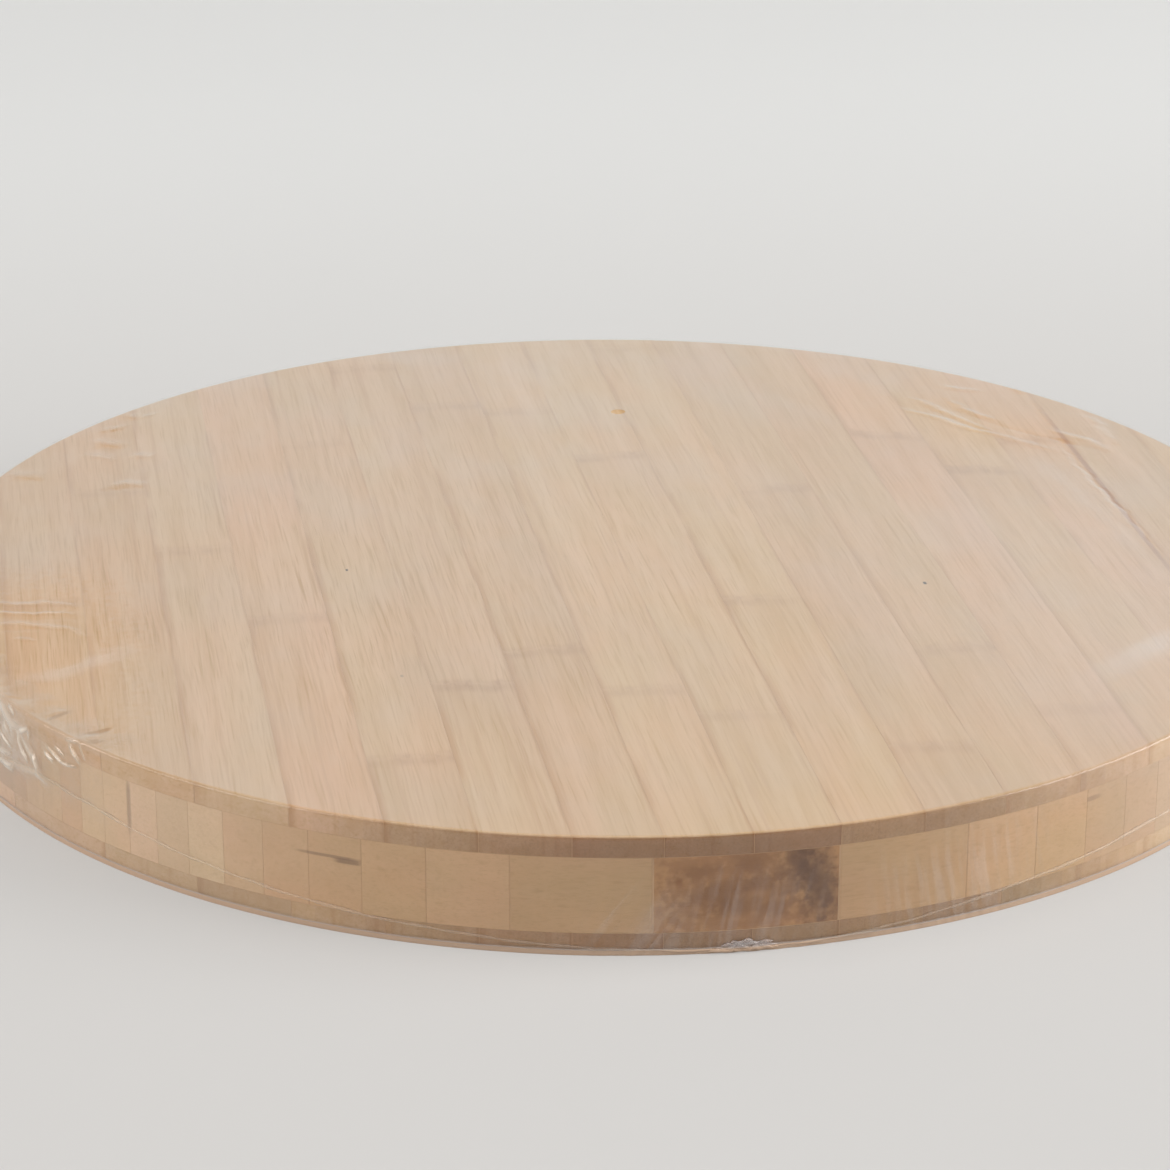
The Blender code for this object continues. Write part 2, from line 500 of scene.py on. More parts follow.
class Patch(Effect):
    """A ragged spot round a place: a speck, a stain, an open joint or a scuff of the film."""

    NAME = "ragged_patch"
    INPUTS = {
        "Place": Shape.VECTOR, "Centre": Shape.VECTOR, "Half Size": Shape.VECTOR, "Turn": Shape.NUMBER,
        "Lean": Shape.NUMBER, "Ragged": Shape.NUMBER, "Soft": Shape.NUMBER,
    }
    OUTPUTS = {"Mask": Shape.NUMBER}

    @classmethod
    def wire(cls, wiring: Wiring, given: Sockets) -> Sockets:
        """Fill a blunt ellipsoid, worn by noise, turned about Z and leaning along X.

        Args:
            wiring: The group's tree.
            given: The group's inputs, by name.

        Returns:
            The group's outputs, by name.
        """
        off = wiring.vector("SUBTRACT", given["Place"], given["Centre"])
        turn = {"Vector": off, "Angle": given["Turn"]}
        turned = wiring.node("VectorRotate", turn, rotation_type="Z_AXIS").outputs["Vector"]
        x, y, z = wiring.split(turned)
        leaning = wiring.less(x, wiring.times(z, given["Lean"]))
        scaled = wiring.vector("DIVIDE", wiring.join(leaning, y, z), given["Half Size"])
        squared = wiring.vector("MULTIPLY", scaled, scaled)
        distance = wiring.math("POWER", wiring.vector("LENGTH", squared), 0.5)
        wear = wiring.less(wiring.noise(given["Place"], (420, 420, 420), 2.0, 0.6), 0.5)
        worn = wiring.plus(distance, wiring.times(wear, given["Ragged"]))
        outer = wiring.plus(1.0, given["Soft"])
        inner = wiring.less(1.0, given["Soft"])
        return {"Mask": wiring.ease(worn, outer, inner)}


class BundleTones(Effect):
    """The neighbouring strips of one bundle, each in its own tone."""

    NAME = "bamboo_bundle_tones"
    INPUTS = {"Share": Shape.NUMBER, "Inner": Shape.COLOUR, "Middle": Shape.COLOUR, "Outer": Shape.COLOUR}
    OUTPUTS = {"Colour": Shape.COLOUR}

    @classmethod
    def wire(cls, wiring: Wiring, given: Sockets) -> Sockets:
        """Step from tone to tone at each third of the way across the bundle.

        Args:
            wiring: The group's tree.
            given: The group's inputs, by name.

        Returns:
            The group's outputs, by name.
        """
        second = wiring.math("GREATER_THAN", given["Share"], 1 / BUNDLE)
        third = wiring.math("GREATER_THAN", given["Share"], 2 / BUNDLE)
        first_two = wiring.mix(second, given["Inner"], given["Middle"])
        return {"Colour": wiring.mix(third, first_two, given["Outer"])}


class FilmStreaks(Effect):
    """Pale streaks that run up the film where it was drawn together over the rim."""

    NAME = "film_streaks"
    INPUTS = {
        "Place": Shape.VECTOR, "Middle": Shape.NUMBER, "Reach": Shape.NUMBER, "Foot": Shape.NUMBER,
        "Head": Shape.NUMBER, "Lean": Shape.NUMBER, "Seed": Shape.NUMBER,
    }
    OUTPUTS = {"Mask": Shape.NUMBER}

    @classmethod
    def wire(cls, wiring: Wiring, given: Sockets) -> Sockets:
        """Draw thin lines round the rim between two angles and two heights.

        Args:
            wiring: The group's tree.
            given: The group's inputs, by name.

        Returns:
            The group's outputs, by name.
        """
        x, y, z = wiring.split(given["Place"])
        angle = wiring.math("DEGREES", wiring.math("ARCTAN2", x, wiring.times(y, -1.0)))
        off = wiring.less(angle, given["Middle"])
        height = wiring.less(z, given["Foot"])
        leaning = wiring.less(angle, wiring.times(height, given["Lean"]))
        sample = wiring.join(leaning, given["Seed"], wiring.times(z, 60.0))
        lines = wiring.ease(wiring.noise(sample, (1.7, 1, 1), 1.5, 0.5), 0.38, 0.72)
        ends = wiring.noise(wiring.join(leaning, given["Seed"], 3.7), (0.8, 1, 1), 1.0)
        head = wiring.times(given["Head"], wiring.math("MULTIPLY_ADD", ends, 0.9, 0.5))
        within = wiring.ease(wiring.math("ABSOLUTE", off), given["Reach"], 0.0)
        below = wiring.ease(z, head, wiring.times(head, 0.55))
        above = wiring.ease(z, wiring.less(given["Foot"], 1.5 * MM), given["Foot"])
        upright = wiring.times(below, above)
        zone = wiring.times(wiring.math("POWER", within, 0.5), upright)
        return {"Mask": wiring.times(lines, zone)}


class FilmCoverage(Effect):
    """How much of the light the film sends back, how it is creased on a small scale, and the painted light
    over its foot.
    """

    NAME = "film_coverage"
    INPUTS = {
        "Place": Shape.VECTOR, "Facing": Shape.NUMBER, "Gain": Shape.NUMBER, "Haze": Shape.NUMBER,
        "Clear": Shape.NUMBER, "CloudAndSheen": Shape.NUMBER, "Tone": Shape.NUMBER, "Sheen": Shape.COLOUR,
    }
    OUTPUTS = {
        "Colour": Shape.COLOUR, "Alpha": Shape.NUMBER, "Metallic": Shape.NUMBER, "Height": Shape.NUMBER,
    }
    # Painted light: the pale wood colour laid over the film's foot
    FOOT_PAINTED_LIGHT = tint(206, 176, 150)
    STRAIGHT_SHINE = 0.025
    GRAZING_SHINE = 1.30
    CORNER_CLEARING = 0.5
    CLEAR_TONE_CLEARING = -0.65
    TONE_HAZE_AND_PAINTED_GLINT_COVER = 0.13
    # How far that painted light covers the foot
    FOOT_PAINTED_LIGHT_COVER = 0.85

    @classmethod
    def wire(cls, wiring: Wiring, given: Sockets) -> Sockets:
        """Reflect as two clear walls do, less in clear places and on the stretched edges, and lay painted
        light over the foot.

        Args:
            wiring: The group's tree.
            given: The group's inputs, by name.

        Returns:
            The group's outputs, by name.
        """
        grazing = wiring.math("POWER", given["Facing"], 5.0)
        one_wall = wiring.math("MULTIPLY_ADD", grazing, cls.GRAZING_SHINE, cls.STRAIGHT_SHINE)
        doubled = wiring.times(one_wall, 2.0)
        two_walls = wiring.math("DIVIDE", doubled, wiring.plus(one_wall, 1.0))
        cloud = wiring.noise(given["Place"], (34, 22, 60), 3.0, 0.55)
        uneven = wiring.math("MULTIPLY_ADD", wiring.ease(cloud, 0.35, 0.70), 0.25, 0.87)
        x, y, z = wiring.split(given["Place"])
        ring = wiring.vector("LENGTH", wiring.join(x, y, 0.0))
        off_middle = wiring.math("ABSOLUTE", wiring.less(z, CAD_HIGH.z / 2))
        cornered = wiring.plus(ring, off_middle)
        corner = CAD_HIGH.x + CAD_HIGH.z / 2
        inner = wiring.ease(cornered, corner - 1.2 * MM, corner - 0.6 * MM)
        loose = wiring.ease(cornered, corner + 0.05 * MM, corner + 0.35 * MM)
        edge = wiring.times(wiring.less(inner, loose, clamp=True), cls.CORNER_CLEARING)
        opened = wiring.times(given["Tone"], cls.CLEAR_TONE_CLEARING)
        cleared = wiring.most(wiring.most(given["Clear"], edge), opened)
        outermost = wiring.ease(ring, CAD_HIGH.x - 1.5 * MM, CAD_HIGH.x - 0.5 * MM)
        # Painted light: a pale wood colour covers the film's foot, so that the shade of the gap under the
        # board doesn't show
        foot = wiring.times(wiring.ease(z, 1.8 * MM, 1.0 * MM), outermost)
        kept = wiring.less(1.0, wiring.most(cleared, foot), clamp=True)
        shine = wiring.times(wiring.times(two_walls, uneven), given["Gain"])
        shine = wiring.times(shine, kept)
        # Haze where the tone is above 0; along the creases of the loose film at the left it is painted
        # highlight
        tone_haze_and_painted_light = wiring.times(wiring.most(given["Tone"], 0.0), cls.TONE_HAZE_AND_PAINTED_GLINT_COVER)
        tone_haze_and_painted_light = wiring.math("MULTIPLY_ADD", foot, cls.FOOT_PAINTED_LIGHT_COVER, tone_haze_and_painted_light)
        hidden = wiring.plus(wiring.plus(given["Haze"], given["CloudAndSheen"]), tone_haze_and_painted_light)
        alpha = wiring.plus(shine, hidden, clamp=True)
        metallic = wiring.math("DIVIDE", shine, wiring.most(alpha, 0.001), clamp=True)
        colour = wiring.mix(foot, given["Sheen"], cls.FOOT_PAINTED_LIGHT)
        height = wiring.noise(given["Place"], (150, 150, 90), 2.0, 0.5)
        return {"Colour": colour, "Alpha": alpha, "Metallic": metallic, "Height": height}


def new_material(name: str) -> tuple[Material, Wiring, bpy.types.Node]:
    """Start a material.

    Args:
        name: The material's name.

    Returns:
        The material, its wiring and its Principled shader.
    """
    material = bpy.data.materials.new(name)
    material.use_nodes = True
    shader = material.node_tree.nodes["Principled BSDF"]
    return material, Wiring(material.node_tree), shader


class Bamboo(Enum):
    """Tones of the strips: ground, dark fibre and pale fibre."""

    HONEY = (tint(206, 170, 127), tint(185, 146, 92), tint(215, 183, 147))
    STRAW = (tint(208, 174, 132), tint(188, 151, 97), tint(217, 187, 152))
    BLUSH = (tint(208, 170, 131), tint(187, 147, 95), tint(217, 183, 150))
    SAND = (tint(203, 169, 129), tint(183, 146, 94), tint(214, 183, 149))
    TAWNY = (tint(201, 163, 120), tint(180, 140, 87), tint(210, 177, 140))


@dataclass(frozen=True)
class Knuckle:
    """Where a strip's knuckle lies along its grain, and how plainly it shows."""

    station: float
    slope: float = 0.0
    strength: float = 0.5


@dataclass(frozen=True)
class Area:
    """A ragged patch of a surface.

    Attributes:
        centre: Its middle.
        half_size: Its reach either way along each axis.
        turn: How far it is turned about Z, in degrees.
        lean: How far it leans along X for each metre up.
        ragged: How torn its edge is.
        soft: How gently it ends, from 0 to 1.
    """

    centre: tuple[float, float, float]
    half_size: tuple[float, float, float]
    turn: float = 0.0
    lean: float = 0.0
    ragged: float = 0.6
    soft: float = 0.3

    def mask(self, wiring: Wiring, place: Socket) -> Socket:
        """Place the patch in a material and give its mask.

        Args:
            wiring: The material's tree.
            place: The coordinates that it lies in.

        Returns:
            The mask.
        """
        lie = {"Centre": self.centre, "Turn": math.radians(-self.turn), "Lean": self.lean}
        edge = {"Ragged": self.ragged, "Soft": self.soft}
        return Patch.place(wiring, Place=place, Half_Size=self.half_size, **lie, **edge)["Mask"]


@dataclass(frozen=True)
class Mark:
    """A stain on one piece, also used for painted shade: where it lies, its colour and how far it covers the
    bamboo.
    """

    area: Area
    stain: Colour
    strength: float = 0.8


@dataclass(frozen=True)
class Streaks:
    """A group of pale streaks up the film: its middle and reach round the rim, and its heights."""

    middle: float
    reach: float
    foot: float
    head: float
    strength: float
    lean: float = 0.0

    def mask(self, wiring: Wiring, place: Socket) -> Socket:
        """Place the streaks in a material and give their mask.

        Args:
            wiring: The material's tree.
            place: The coordinates that it lies in.

        Returns:
            The mask.
        """
        spread = {"Middle": self.middle, "Reach": self.reach, "Lean": self.lean, "Seed": self.middle * 1.7}
        heights = {"Foot": self.foot * MM, "Head": self.head * MM}
        drawn = FilmStreaks.place(wiring, Place=place, **spread, **heights)
        return wiring.times(drawn["Mask"], self.strength)


@dataclass(frozen=True)
class BambooFinish(ABC):
    """What every strip's bamboo shares: its seed, its marks and how its shader is put together."""

    seed: float
    marks: tuple[Mark, ...] = ()

    END_SHADE = (0.68, 0.61, 0.58, 1.0)
    SPECULAR = 0.22
    FIBRE_DEPTH = 0.025 * MM
    FIBRE_STRENGTH = 0.6

    def stained(self, wiring: Wiring, place: Socket, colour: Socket) -> Socket:
        """Lay the marks over a colour.

        Args:
            wiring: The material's tree.
            place: The coordinates that it lies in.
            colour: The bare bamboo.

        Returns:
            The marked bamboo.
        """
        for mark in self.marks:
            share = wiring.times(mark.area.mask(wiring, place), mark.strength)
            colour = wiring.mix(share, colour, mark.stain)
        return colour

    def finished(
        self, wiring: Wiring, shader: bpy.types.Node, colour: Socket, height: Socket, roughness: Socket
    ) -> None:
        """Feed the shader of a strip with its colour, height and roughness.

        Args:
            wiring: The material's tree.
            shader: The Principled shader.
            colour: Its colour.
            height: How far its surface stands up.
            roughness: Its roughness.
        """
        bumped = wiring.bump(height, self.FIBRE_STRENGTH, self.FIBRE_DEPTH)
        wiring.feed_all(shader, {"Base Color": colour, "Roughness": roughness, "Normal": bumped})
        shader.inputs["Specular IOR Level"].default_value = self.SPECULAR


@dataclass(frozen=True)
class FaceStripFinish(BambooFinish):
    """One flat strip of a face ply, its grain along Y."""

    tone: Bamboo = Bamboo.HONEY
    knuckles: tuple[Knuckle, ...] = ()
    end_shade: Colour = BambooFinish.END_SHADE
    edges: tuple[float, float] = (-1.0, 1.0)
    streaks: float = 0.6

    SCAR = tint(172, 130, 94)

    # Stretches along the board where the fibres fade to half: toward the back, and at the front
    BACK_FADE = (-0.05, 0.15)
    FRONT_FADE = (-0.17, -0.02)
    EDGE_SHARE = 0.75

    def material(self, name: str) -> Material:
        """Make the strip's material.

        Args:
            name: The material's name.

        Returns:
            The material.
        """
        material, wiring, shader = new_material(name)
        source = wiring.node("TexCoord")
        place = source.outputs["Object"]
        ground, dark, pale = self.tone.value
        _, along, _ = wiring.split(place)
        near, far = self.BACK_FADE
        reach = {"Value": along, "From Min": near, "From Max": far}
        shares = {"To Min": self.streaks, "To Max": self.streaks / 2}
        strength = wiring.node("MapRange", {**reach, **shares}).outputs["Result"]
        front = wiring.math("MULTIPLY_ADD", wiring.ease(along, *self.FRONT_FADE), 0.5, 0.5)
        strength = wiring.times(strength, front)
        fibre = Fibre.place(
            wiring, Place=place, Seed=self.seed, Ground=ground, Dark=dark, Pale=pale, Strength=strength
        )
        left, right = self.edges
        glued = {"Left": left, "Right": right, "Seed": self.seed, "Strength": self.streaks * self.EDGE_SHARE}
        colour = StripEdges.place(wiring, Place=place, Colour=fibre["Colour"], **glued)["Colour"]
        height = fibre["Height"]
        for number, knuckle in enumerate(self.knuckles):
            line = {"Station": knuckle.station, "Slope": knuckle.slope, "Strength": knuckle.strength}
            tones = {"Colour": colour, "Scar": self.SCAR, "Pale": pale}
            band = KnuckleBand.place(wiring, Place=place, Seed=self.seed + number, **line, **tones)
            colour = band["Colour"]
            height = wiring.less(height, band["Dip"])
        ends = {"Normal": source.outputs["Normal"], "Grain": (0, 1, 0), "Shade": self.end_shade}
        ended = EndGrainAndEaseShade.place(wiring, Place=place, Colour=colour, **ends)
        colour = self.stained(wiring, place, ended["Colour"])
        self.finished(wiring, shader, colour, height, fibre["Roughness"])
        return material


@dataclass(frozen=True)
class CoreBundleFinish(BambooFinish):
    """A bundle of core strips, their grain along X, each strip in a tone of its own."""

    first_line: float = 0.0
    last_line: float = 1.0
    tones: tuple[Colour, Colour, Colour] = (tint(205, 170, 130),) * 3
    streaks: float = 0.35

    DARK_SHARE = (0.72, 0.66, 0.58, 1.0)
    PALE_SHARE = (1.06, 1.07, 1.10, 1.0)

    def material(self, name: str) -> Material:
        """Make the bundle's material.

        Args:
            name: The material's name.

        Returns:
            The material.
        """
        material, wiring, shader = new_material(name)
        source = wiring.node("TexCoord")
        place = source.outputs["Object"]
        x, y, z = wiring.split(place)
        turned = wiring.join(y, x, z)
        reach = {"Value": y, "From Min": self.first_line, "From Max": self.last_line}
        share = wiring.node("MapRange", reach).outputs["Result"]
        inner, middle, outer = self.tones
        tones = BundleTones.place(wiring, Share=share, Inner=inner, Middle=middle, Outer=outer)
        ground = tones["Colour"]
        dark = wiring.mix(1.0, ground, self.DARK_SHARE, "MULTIPLY")
        pale = wiring.mix(1.0, ground, self.PALE_SHARE, "MULTIPLY")
        strip_number = wiring.math("FLOOR", wiring.times(share, BUNDLE))
        seed = wiring.plus(strip_number, self.seed)
        fibre = Fibre.place(
            wiring, Place=turned, Seed=seed, Ground=ground, Dark=dark, Pale=pale, Strength=self.streaks
        )
        ends = {"Normal": source.outputs["Normal"], "Grain": (1, 0, 0), "Shade": self.END_SHADE}
        ended = EndGrainAndEaseShade.place(wiring, Place=turned, Colour=fibre["Colour"], **ends)
        colour = self.stained(wiring, place, ended["Colour"])
        self.finished(wiring, shader, colour, fibre["Height"], fibre["Roughness"])
        return material


@dataclass(frozen=True)
class GlueFinish:
    """Dried glue: amber, slightly uneven, with a low shine, its colours lightened as painted light against
    the shade in the narrow joints.
    """

    colour: Colour = tint(208, 171, 131)
    darker: Colour = tint(192, 154, 115)

    def material(self, name: str) -> Material:
        """Make the glue's material.

        Args:
            name: The material's name.

        Returns:
            The material.
        """
        material, wiring, shader = new_material(name)
        place = wiring.node("TexCoord").outputs["Object"]
        uneven = wiring.noise(place, (160, 160, 160), 3.0, 0.6)
        colour = wiring.mix(wiring.ease(uneven, 0.35, 0.70), self.colour, self.darker)
        roughness = wiring.math("MULTIPLY_ADD", uneven, 0.2, 0.35)
        wiring.feed_all(shader, {"Base Color": colour, "Roughness": roughness})
        return material


@dataclass(frozen=True)
class FilmFinish:
    """Clear film: it shines as glass does and lets the rest of the light through.

    Attributes:
        gain: How much more it shines than two clean walls.
        haze: The share that it hides when seen straight on.
        roughness: How blurred its reflections are.
        sheen: The colour of what it sends back.
        crease_depth: The depth of its small waves.
        clear: Areas that mirror something darker, and how much.
        cloud_and_painted_sheen: Areas that are cloudy, and how much; the broad ones at the right are painted
            reflection, pale haze that whitens the film there.
        streaks: Groups of pale streaks up the rim.
    """

    gain: float = 1.15
    haze: float = 0.0
    roughness: float = 0.07
    sheen: Colour = tint(251, 251, 251)
    crease_depth: float = 0.00006
    clear: tuple[tuple[Area, float], ...] = ()
    cloud_and_painted_sheen: tuple[tuple[Area, float], ...] = ()
    streaks: tuple[Streaks, ...] = ()

    CREASE_STRENGTH = 0.5
    BLUR_SPREAD = 0.06

    def total(self, wiring: Wiring, masks: Sequence[Socket]) -> Feed:
        """Add up masks, or give nothing if there are none.

        Args:
            wiring: The material's tree.
            masks: The masks.

        Returns:
            Their sum.
        """
        total: Feed = 0.0
        for mask in masks:
            total = wiring.plus(total, mask)
        return total

    def material(self, name: str) -> Material:
        """Make the film's material.

        Args:
            name: The material's name.

        Returns:
            The material.
        """
        material, wiring, shader = new_material(name)
        place = wiring.node("TexCoord").outputs["Object"]
        facing = wiring.node("LayerWeight", {"Blend": 0.5}).outputs["Facing"]
        clear = [wiring.times(area.mask(wiring, place), share) for area, share in self.clear]
        cloud_and_sheen_masks = [wiring.times(area.mask(wiring, place), share) for area, share in self.cloud_and_painted_sheen]
        cloud_and_sheen_masks += [streak.mask(wiring, place) for streak in self.streaks]
        areas = {"Clear": self.total(wiring, clear), "CloudAndSheen": self.total(wiring, cloud_and_sheen_masks)}
        tone = wiring.node("Attribute", attribute_name=FILM_TONE).outputs["Fac"]
        look = {"Gain": self.gain, "Haze": self.haze, "Tone": tone, "Sheen": self.sheen}
        film = FilmCoverage.place(wiring, Place=place, Facing=facing, **areas, **look)
        bumped = wiring.bump(film["Height"], self.CREASE_STRENGTH, self.crease_depth)
        least = self.roughness - self.BLUR_SPREAD / 2
        blur = wiring.math("MULTIPLY_ADD", film["Height"], self.BLUR_SPREAD, least)
        shared = {"Base Color": film["Colour"], "Alpha": film["Alpha"], "Metallic": film["Metallic"]}
        wiring.feed_all(shader, {**shared, "Roughness": blur, "Normal": bumped})
        return material


@dataclass(frozen=True)
class StageFinish:
    """Matt pale paper, lighter toward the back, that shows part of its colour without shadow.

    Attributes:
        floor: Its lit colour at the front.
        backdrop: Its lit colour at the back.
        plain_floor: What it shows without shadow at the front.
        plain_backdrop: What it shows without shadow at the back.
        plain_share: How much of what the camera sees has no shadow.
        turning: Where along Y the front's colour starts to turn into the back's, and where it ends.
    """

    floor: Colour = tint(204, 202, 200)
    backdrop: Colour = tint(224, 224, 222)
    plain_floor: Colour = tint(214, 212, 209)
    plain_backdrop: Colour = tint(222, 222, 221)
    plain_share: float = 0.45
    turning: tuple[float, float] = (0.05, 0.60)
    roughness: float = 0.9
    specular: float = 0.1

    def material(self, name: str) -> Material:
        """Make the paper's material.

        Args:
            name: The material's name.

        Returns:
            The material.
        """
        material, wiring, shader = new_material(name)
        _, back, _ = wiring.split(wiring.node("TexCoord").outputs["Object"])
        share = wiring.ease(back, *self.turning)
        wiring.feed(shader.inputs["Base Color"], wiring.mix(share, self.floor, self.backdrop))
        shader.inputs["Roughness"].default_value = self.roughness
        shader.inputs["Specular IOR Level"].default_value = self.specular
        plain = wiring.mix(share, self.plain_floor, self.plain_backdrop)
        glow = wiring.node("Emission", {"Color": plain, "Strength": 1.0})
        rays = wiring.node("LightPath").outputs
        seen = wiring.most(rays["Is Camera Ray"], rays["Is Glossy Ray"])
        seen = wiring.most(seen, rays["Is Transmission Ray"])
        mixed = wiring.node("MixShader", {"Fac": wiring.times(seen, self.plain_share)})
        wiring.feed(mixed.inputs[1], shader.outputs["BSDF"])
        wiring.feed(mixed.inputs[2], glow.outputs["Emission"])
        output = material.node_tree.nodes["Material Output"]
        wiring.feed(output.inputs["Surface"], mixed.outputs["Shader"])
        return material


def add_object(name: str, mesh: bpy.types.Mesh, material: Material) -> bpy.types.Object:
    """Link a mesh to the scene as a new object with one material.

    Args:
        name: The object's name.
        mesh: Its mesh.
        material: What it is made of.

    Returns:
        The object.
    """
    mesh.materials.clear()
    mesh.materials.append(material)
    made = bpy.data.objects.new(name, mesh)
    bpy.context.scene.collection.objects.link(made)
    return made


def mesh_from(name: str, fill: Callable[[Faces], None], smooth: bool = False) -> bpy.types.Mesh:
    """Make a mesh whose faces a function fills in.

    Args:
        name: The mesh's name.
        fill: Puts the faces into an empty bmesh.
        smooth: Whether its faces are shaded as one curved skin.

    Returns:
        The mesh.
    """
    shape = bmesh.new()
    fill(shape)
    for face in shape.faces:
        face.smooth = smooth
    mesh = bpy.data.meshes.new(name)
    shape.to_mesh(mesh)
    shape.free()
    return mesh


def dress(node: bpy.types.Object, material: Material) -> None:
    """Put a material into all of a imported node's slots."""
    node.data.materials.clear()
    node.data.materials.append(material)


@dataclass
class FacePly:
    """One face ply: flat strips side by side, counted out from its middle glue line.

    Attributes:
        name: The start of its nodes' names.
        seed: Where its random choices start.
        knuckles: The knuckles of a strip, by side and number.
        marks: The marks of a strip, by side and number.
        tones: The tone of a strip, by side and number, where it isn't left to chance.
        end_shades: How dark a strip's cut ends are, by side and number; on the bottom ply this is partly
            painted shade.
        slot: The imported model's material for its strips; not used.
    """

    name: str
    seed: int
    knuckles: Mapping[str, tuple[Knuckle, ...]] = field(default_factory=dict)
    marks: Mapping[str, tuple[Mark, ...]] = field(default_factory=dict)
    tones: Mapping[str, Bamboo] = field(default_factory=dict)
    end_shades: Mapping[str, Colour] = field(default_factory=dict)
    slot: str = "face_bamboo"

    FIRST_KNUCKLE = -0.17
    KNUCKLE_SPACING = 0.205
    KNUCKLE_STRENGTHS = (0.25, 0.5)
    STEEPEST_KNUCKLE = 0.06
    COMMON = (Bamboo.HONEY, Bamboo.STRAW, Bamboo.BLUSH, Bamboo.SAND)
    STREAK_PLACES = (-0.13, -0.07, -0.02, 0.05)
    STREAK_SHARES = (1.0, 0.98, 0.84, 0.68)

    def strips(self) -> list[str]:
        """List this ply's node names."""
        return sorted(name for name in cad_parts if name.startswith(self.name))

    def knuckles_of(self, key: str, draw: random.Random) -> tuple[Knuckle, ...]:
        """Take a strip's known knuckles, or space some out along it.

        Args:
            key: The strip's side and number.
            draw: Where random choices come from.

        Returns:
            The knuckles.
        """
        start = draw.uniform(self.FIRST_KNUCKLE, self.FIRST_KNUCKLE + self.KNUCKLE_SPACING)
        strengths = [draw.uniform(*self.KNUCKLE_STRENGTHS) for _ in range(2)]
        slope = draw.uniform(-self.STEEPEST_KNUCKLE, self.STEEPEST_KNUCKLE)
        if key in self.knuckles:
            return self.knuckles[key]
        return tuple(
            Knuckle(start + number * self.KNUCKLE_SPACING, slope, strength)
            for number, strength in enumerate(strengths)
        )

    def build(self) -> None:
        """Give each strip its own bamboo."""
        draw = random.Random(self.seed)
        for name in self.strips():
            key = name.removeprefix(f"{self.name}_")
            seed, tone = draw.uniform(0, SEED_SPAN), draw.choice(self.COMMON)
            low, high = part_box(name)
            finish = FaceStripFinish(
                seed=seed,
                marks=self.marks.get(key, ()),
                tone=self.tones.get(key, tone),
                knuckles=self.knuckles_of(key, draw),
                end_shade=self.end_shades.get(key, BambooFinish.END_SHADE),
                edges=(low.x, high.x),
                streaks=float(np.interp(low.x, self.STREAK_PLACES, self.STREAK_SHARES)),
            )
            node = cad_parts[name]
            dress(node, finish.material(name))
            log.info("dressed %s", name)


@dataclass
class CorePly:
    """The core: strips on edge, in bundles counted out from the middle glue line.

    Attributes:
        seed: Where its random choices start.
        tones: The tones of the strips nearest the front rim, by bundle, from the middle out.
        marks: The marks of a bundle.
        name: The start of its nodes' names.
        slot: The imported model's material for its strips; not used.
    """

    seed: int = 11
    tones: Mapping[str, tuple[Colour, Colour, Colour]] = field(default_factory=dict)
    marks: Mapping[str, tuple[Mark, ...]] = field(default_factory=dict)
    name: str = "core_strips"
    slot: str = "core_bamboo"

    BUNDLE_WIDTH = 0.0195
    SLIVER = "front_10"
    SLIVER_STREAKS = 0.15
    COMMON = ((203, 168, 128), (208, 175, 135), (198, 162, 122), (212, 180, 141))

    def build(self) -> None:
        """Give each bundle its own three tones of bamboo."""
        draw = random.Random(self.seed)
        for name in sorted(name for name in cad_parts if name.startswith(self.name)):
            key = name.removeprefix(f"{self.name}_")
            drawn = tuple(tint(*draw.choice(self.COMMON)) for _ in range(BUNDLE))
            low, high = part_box(name)
            front = key.startswith("front")
            inner_line, outward = (high.y, -1) if front else (low.y, 1)
            finish = CoreBundleFinish(
                seed=draw.uniform(0, SEED_SPAN),
                marks=self.marks.get(key, ()),
                first_line=inner_line,
                last_line=inner_line + outward * self.BUNDLE_WIDTH,
                tones=self.tones.get(key, drawn),
                streaks=self.SLIVER_STREAKS if key == self.SLIVER else CoreBundleFinish.streaks,
            )
            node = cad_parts[name]
            dress(node, finish.material(name))
            log.info("dressed %s", name)


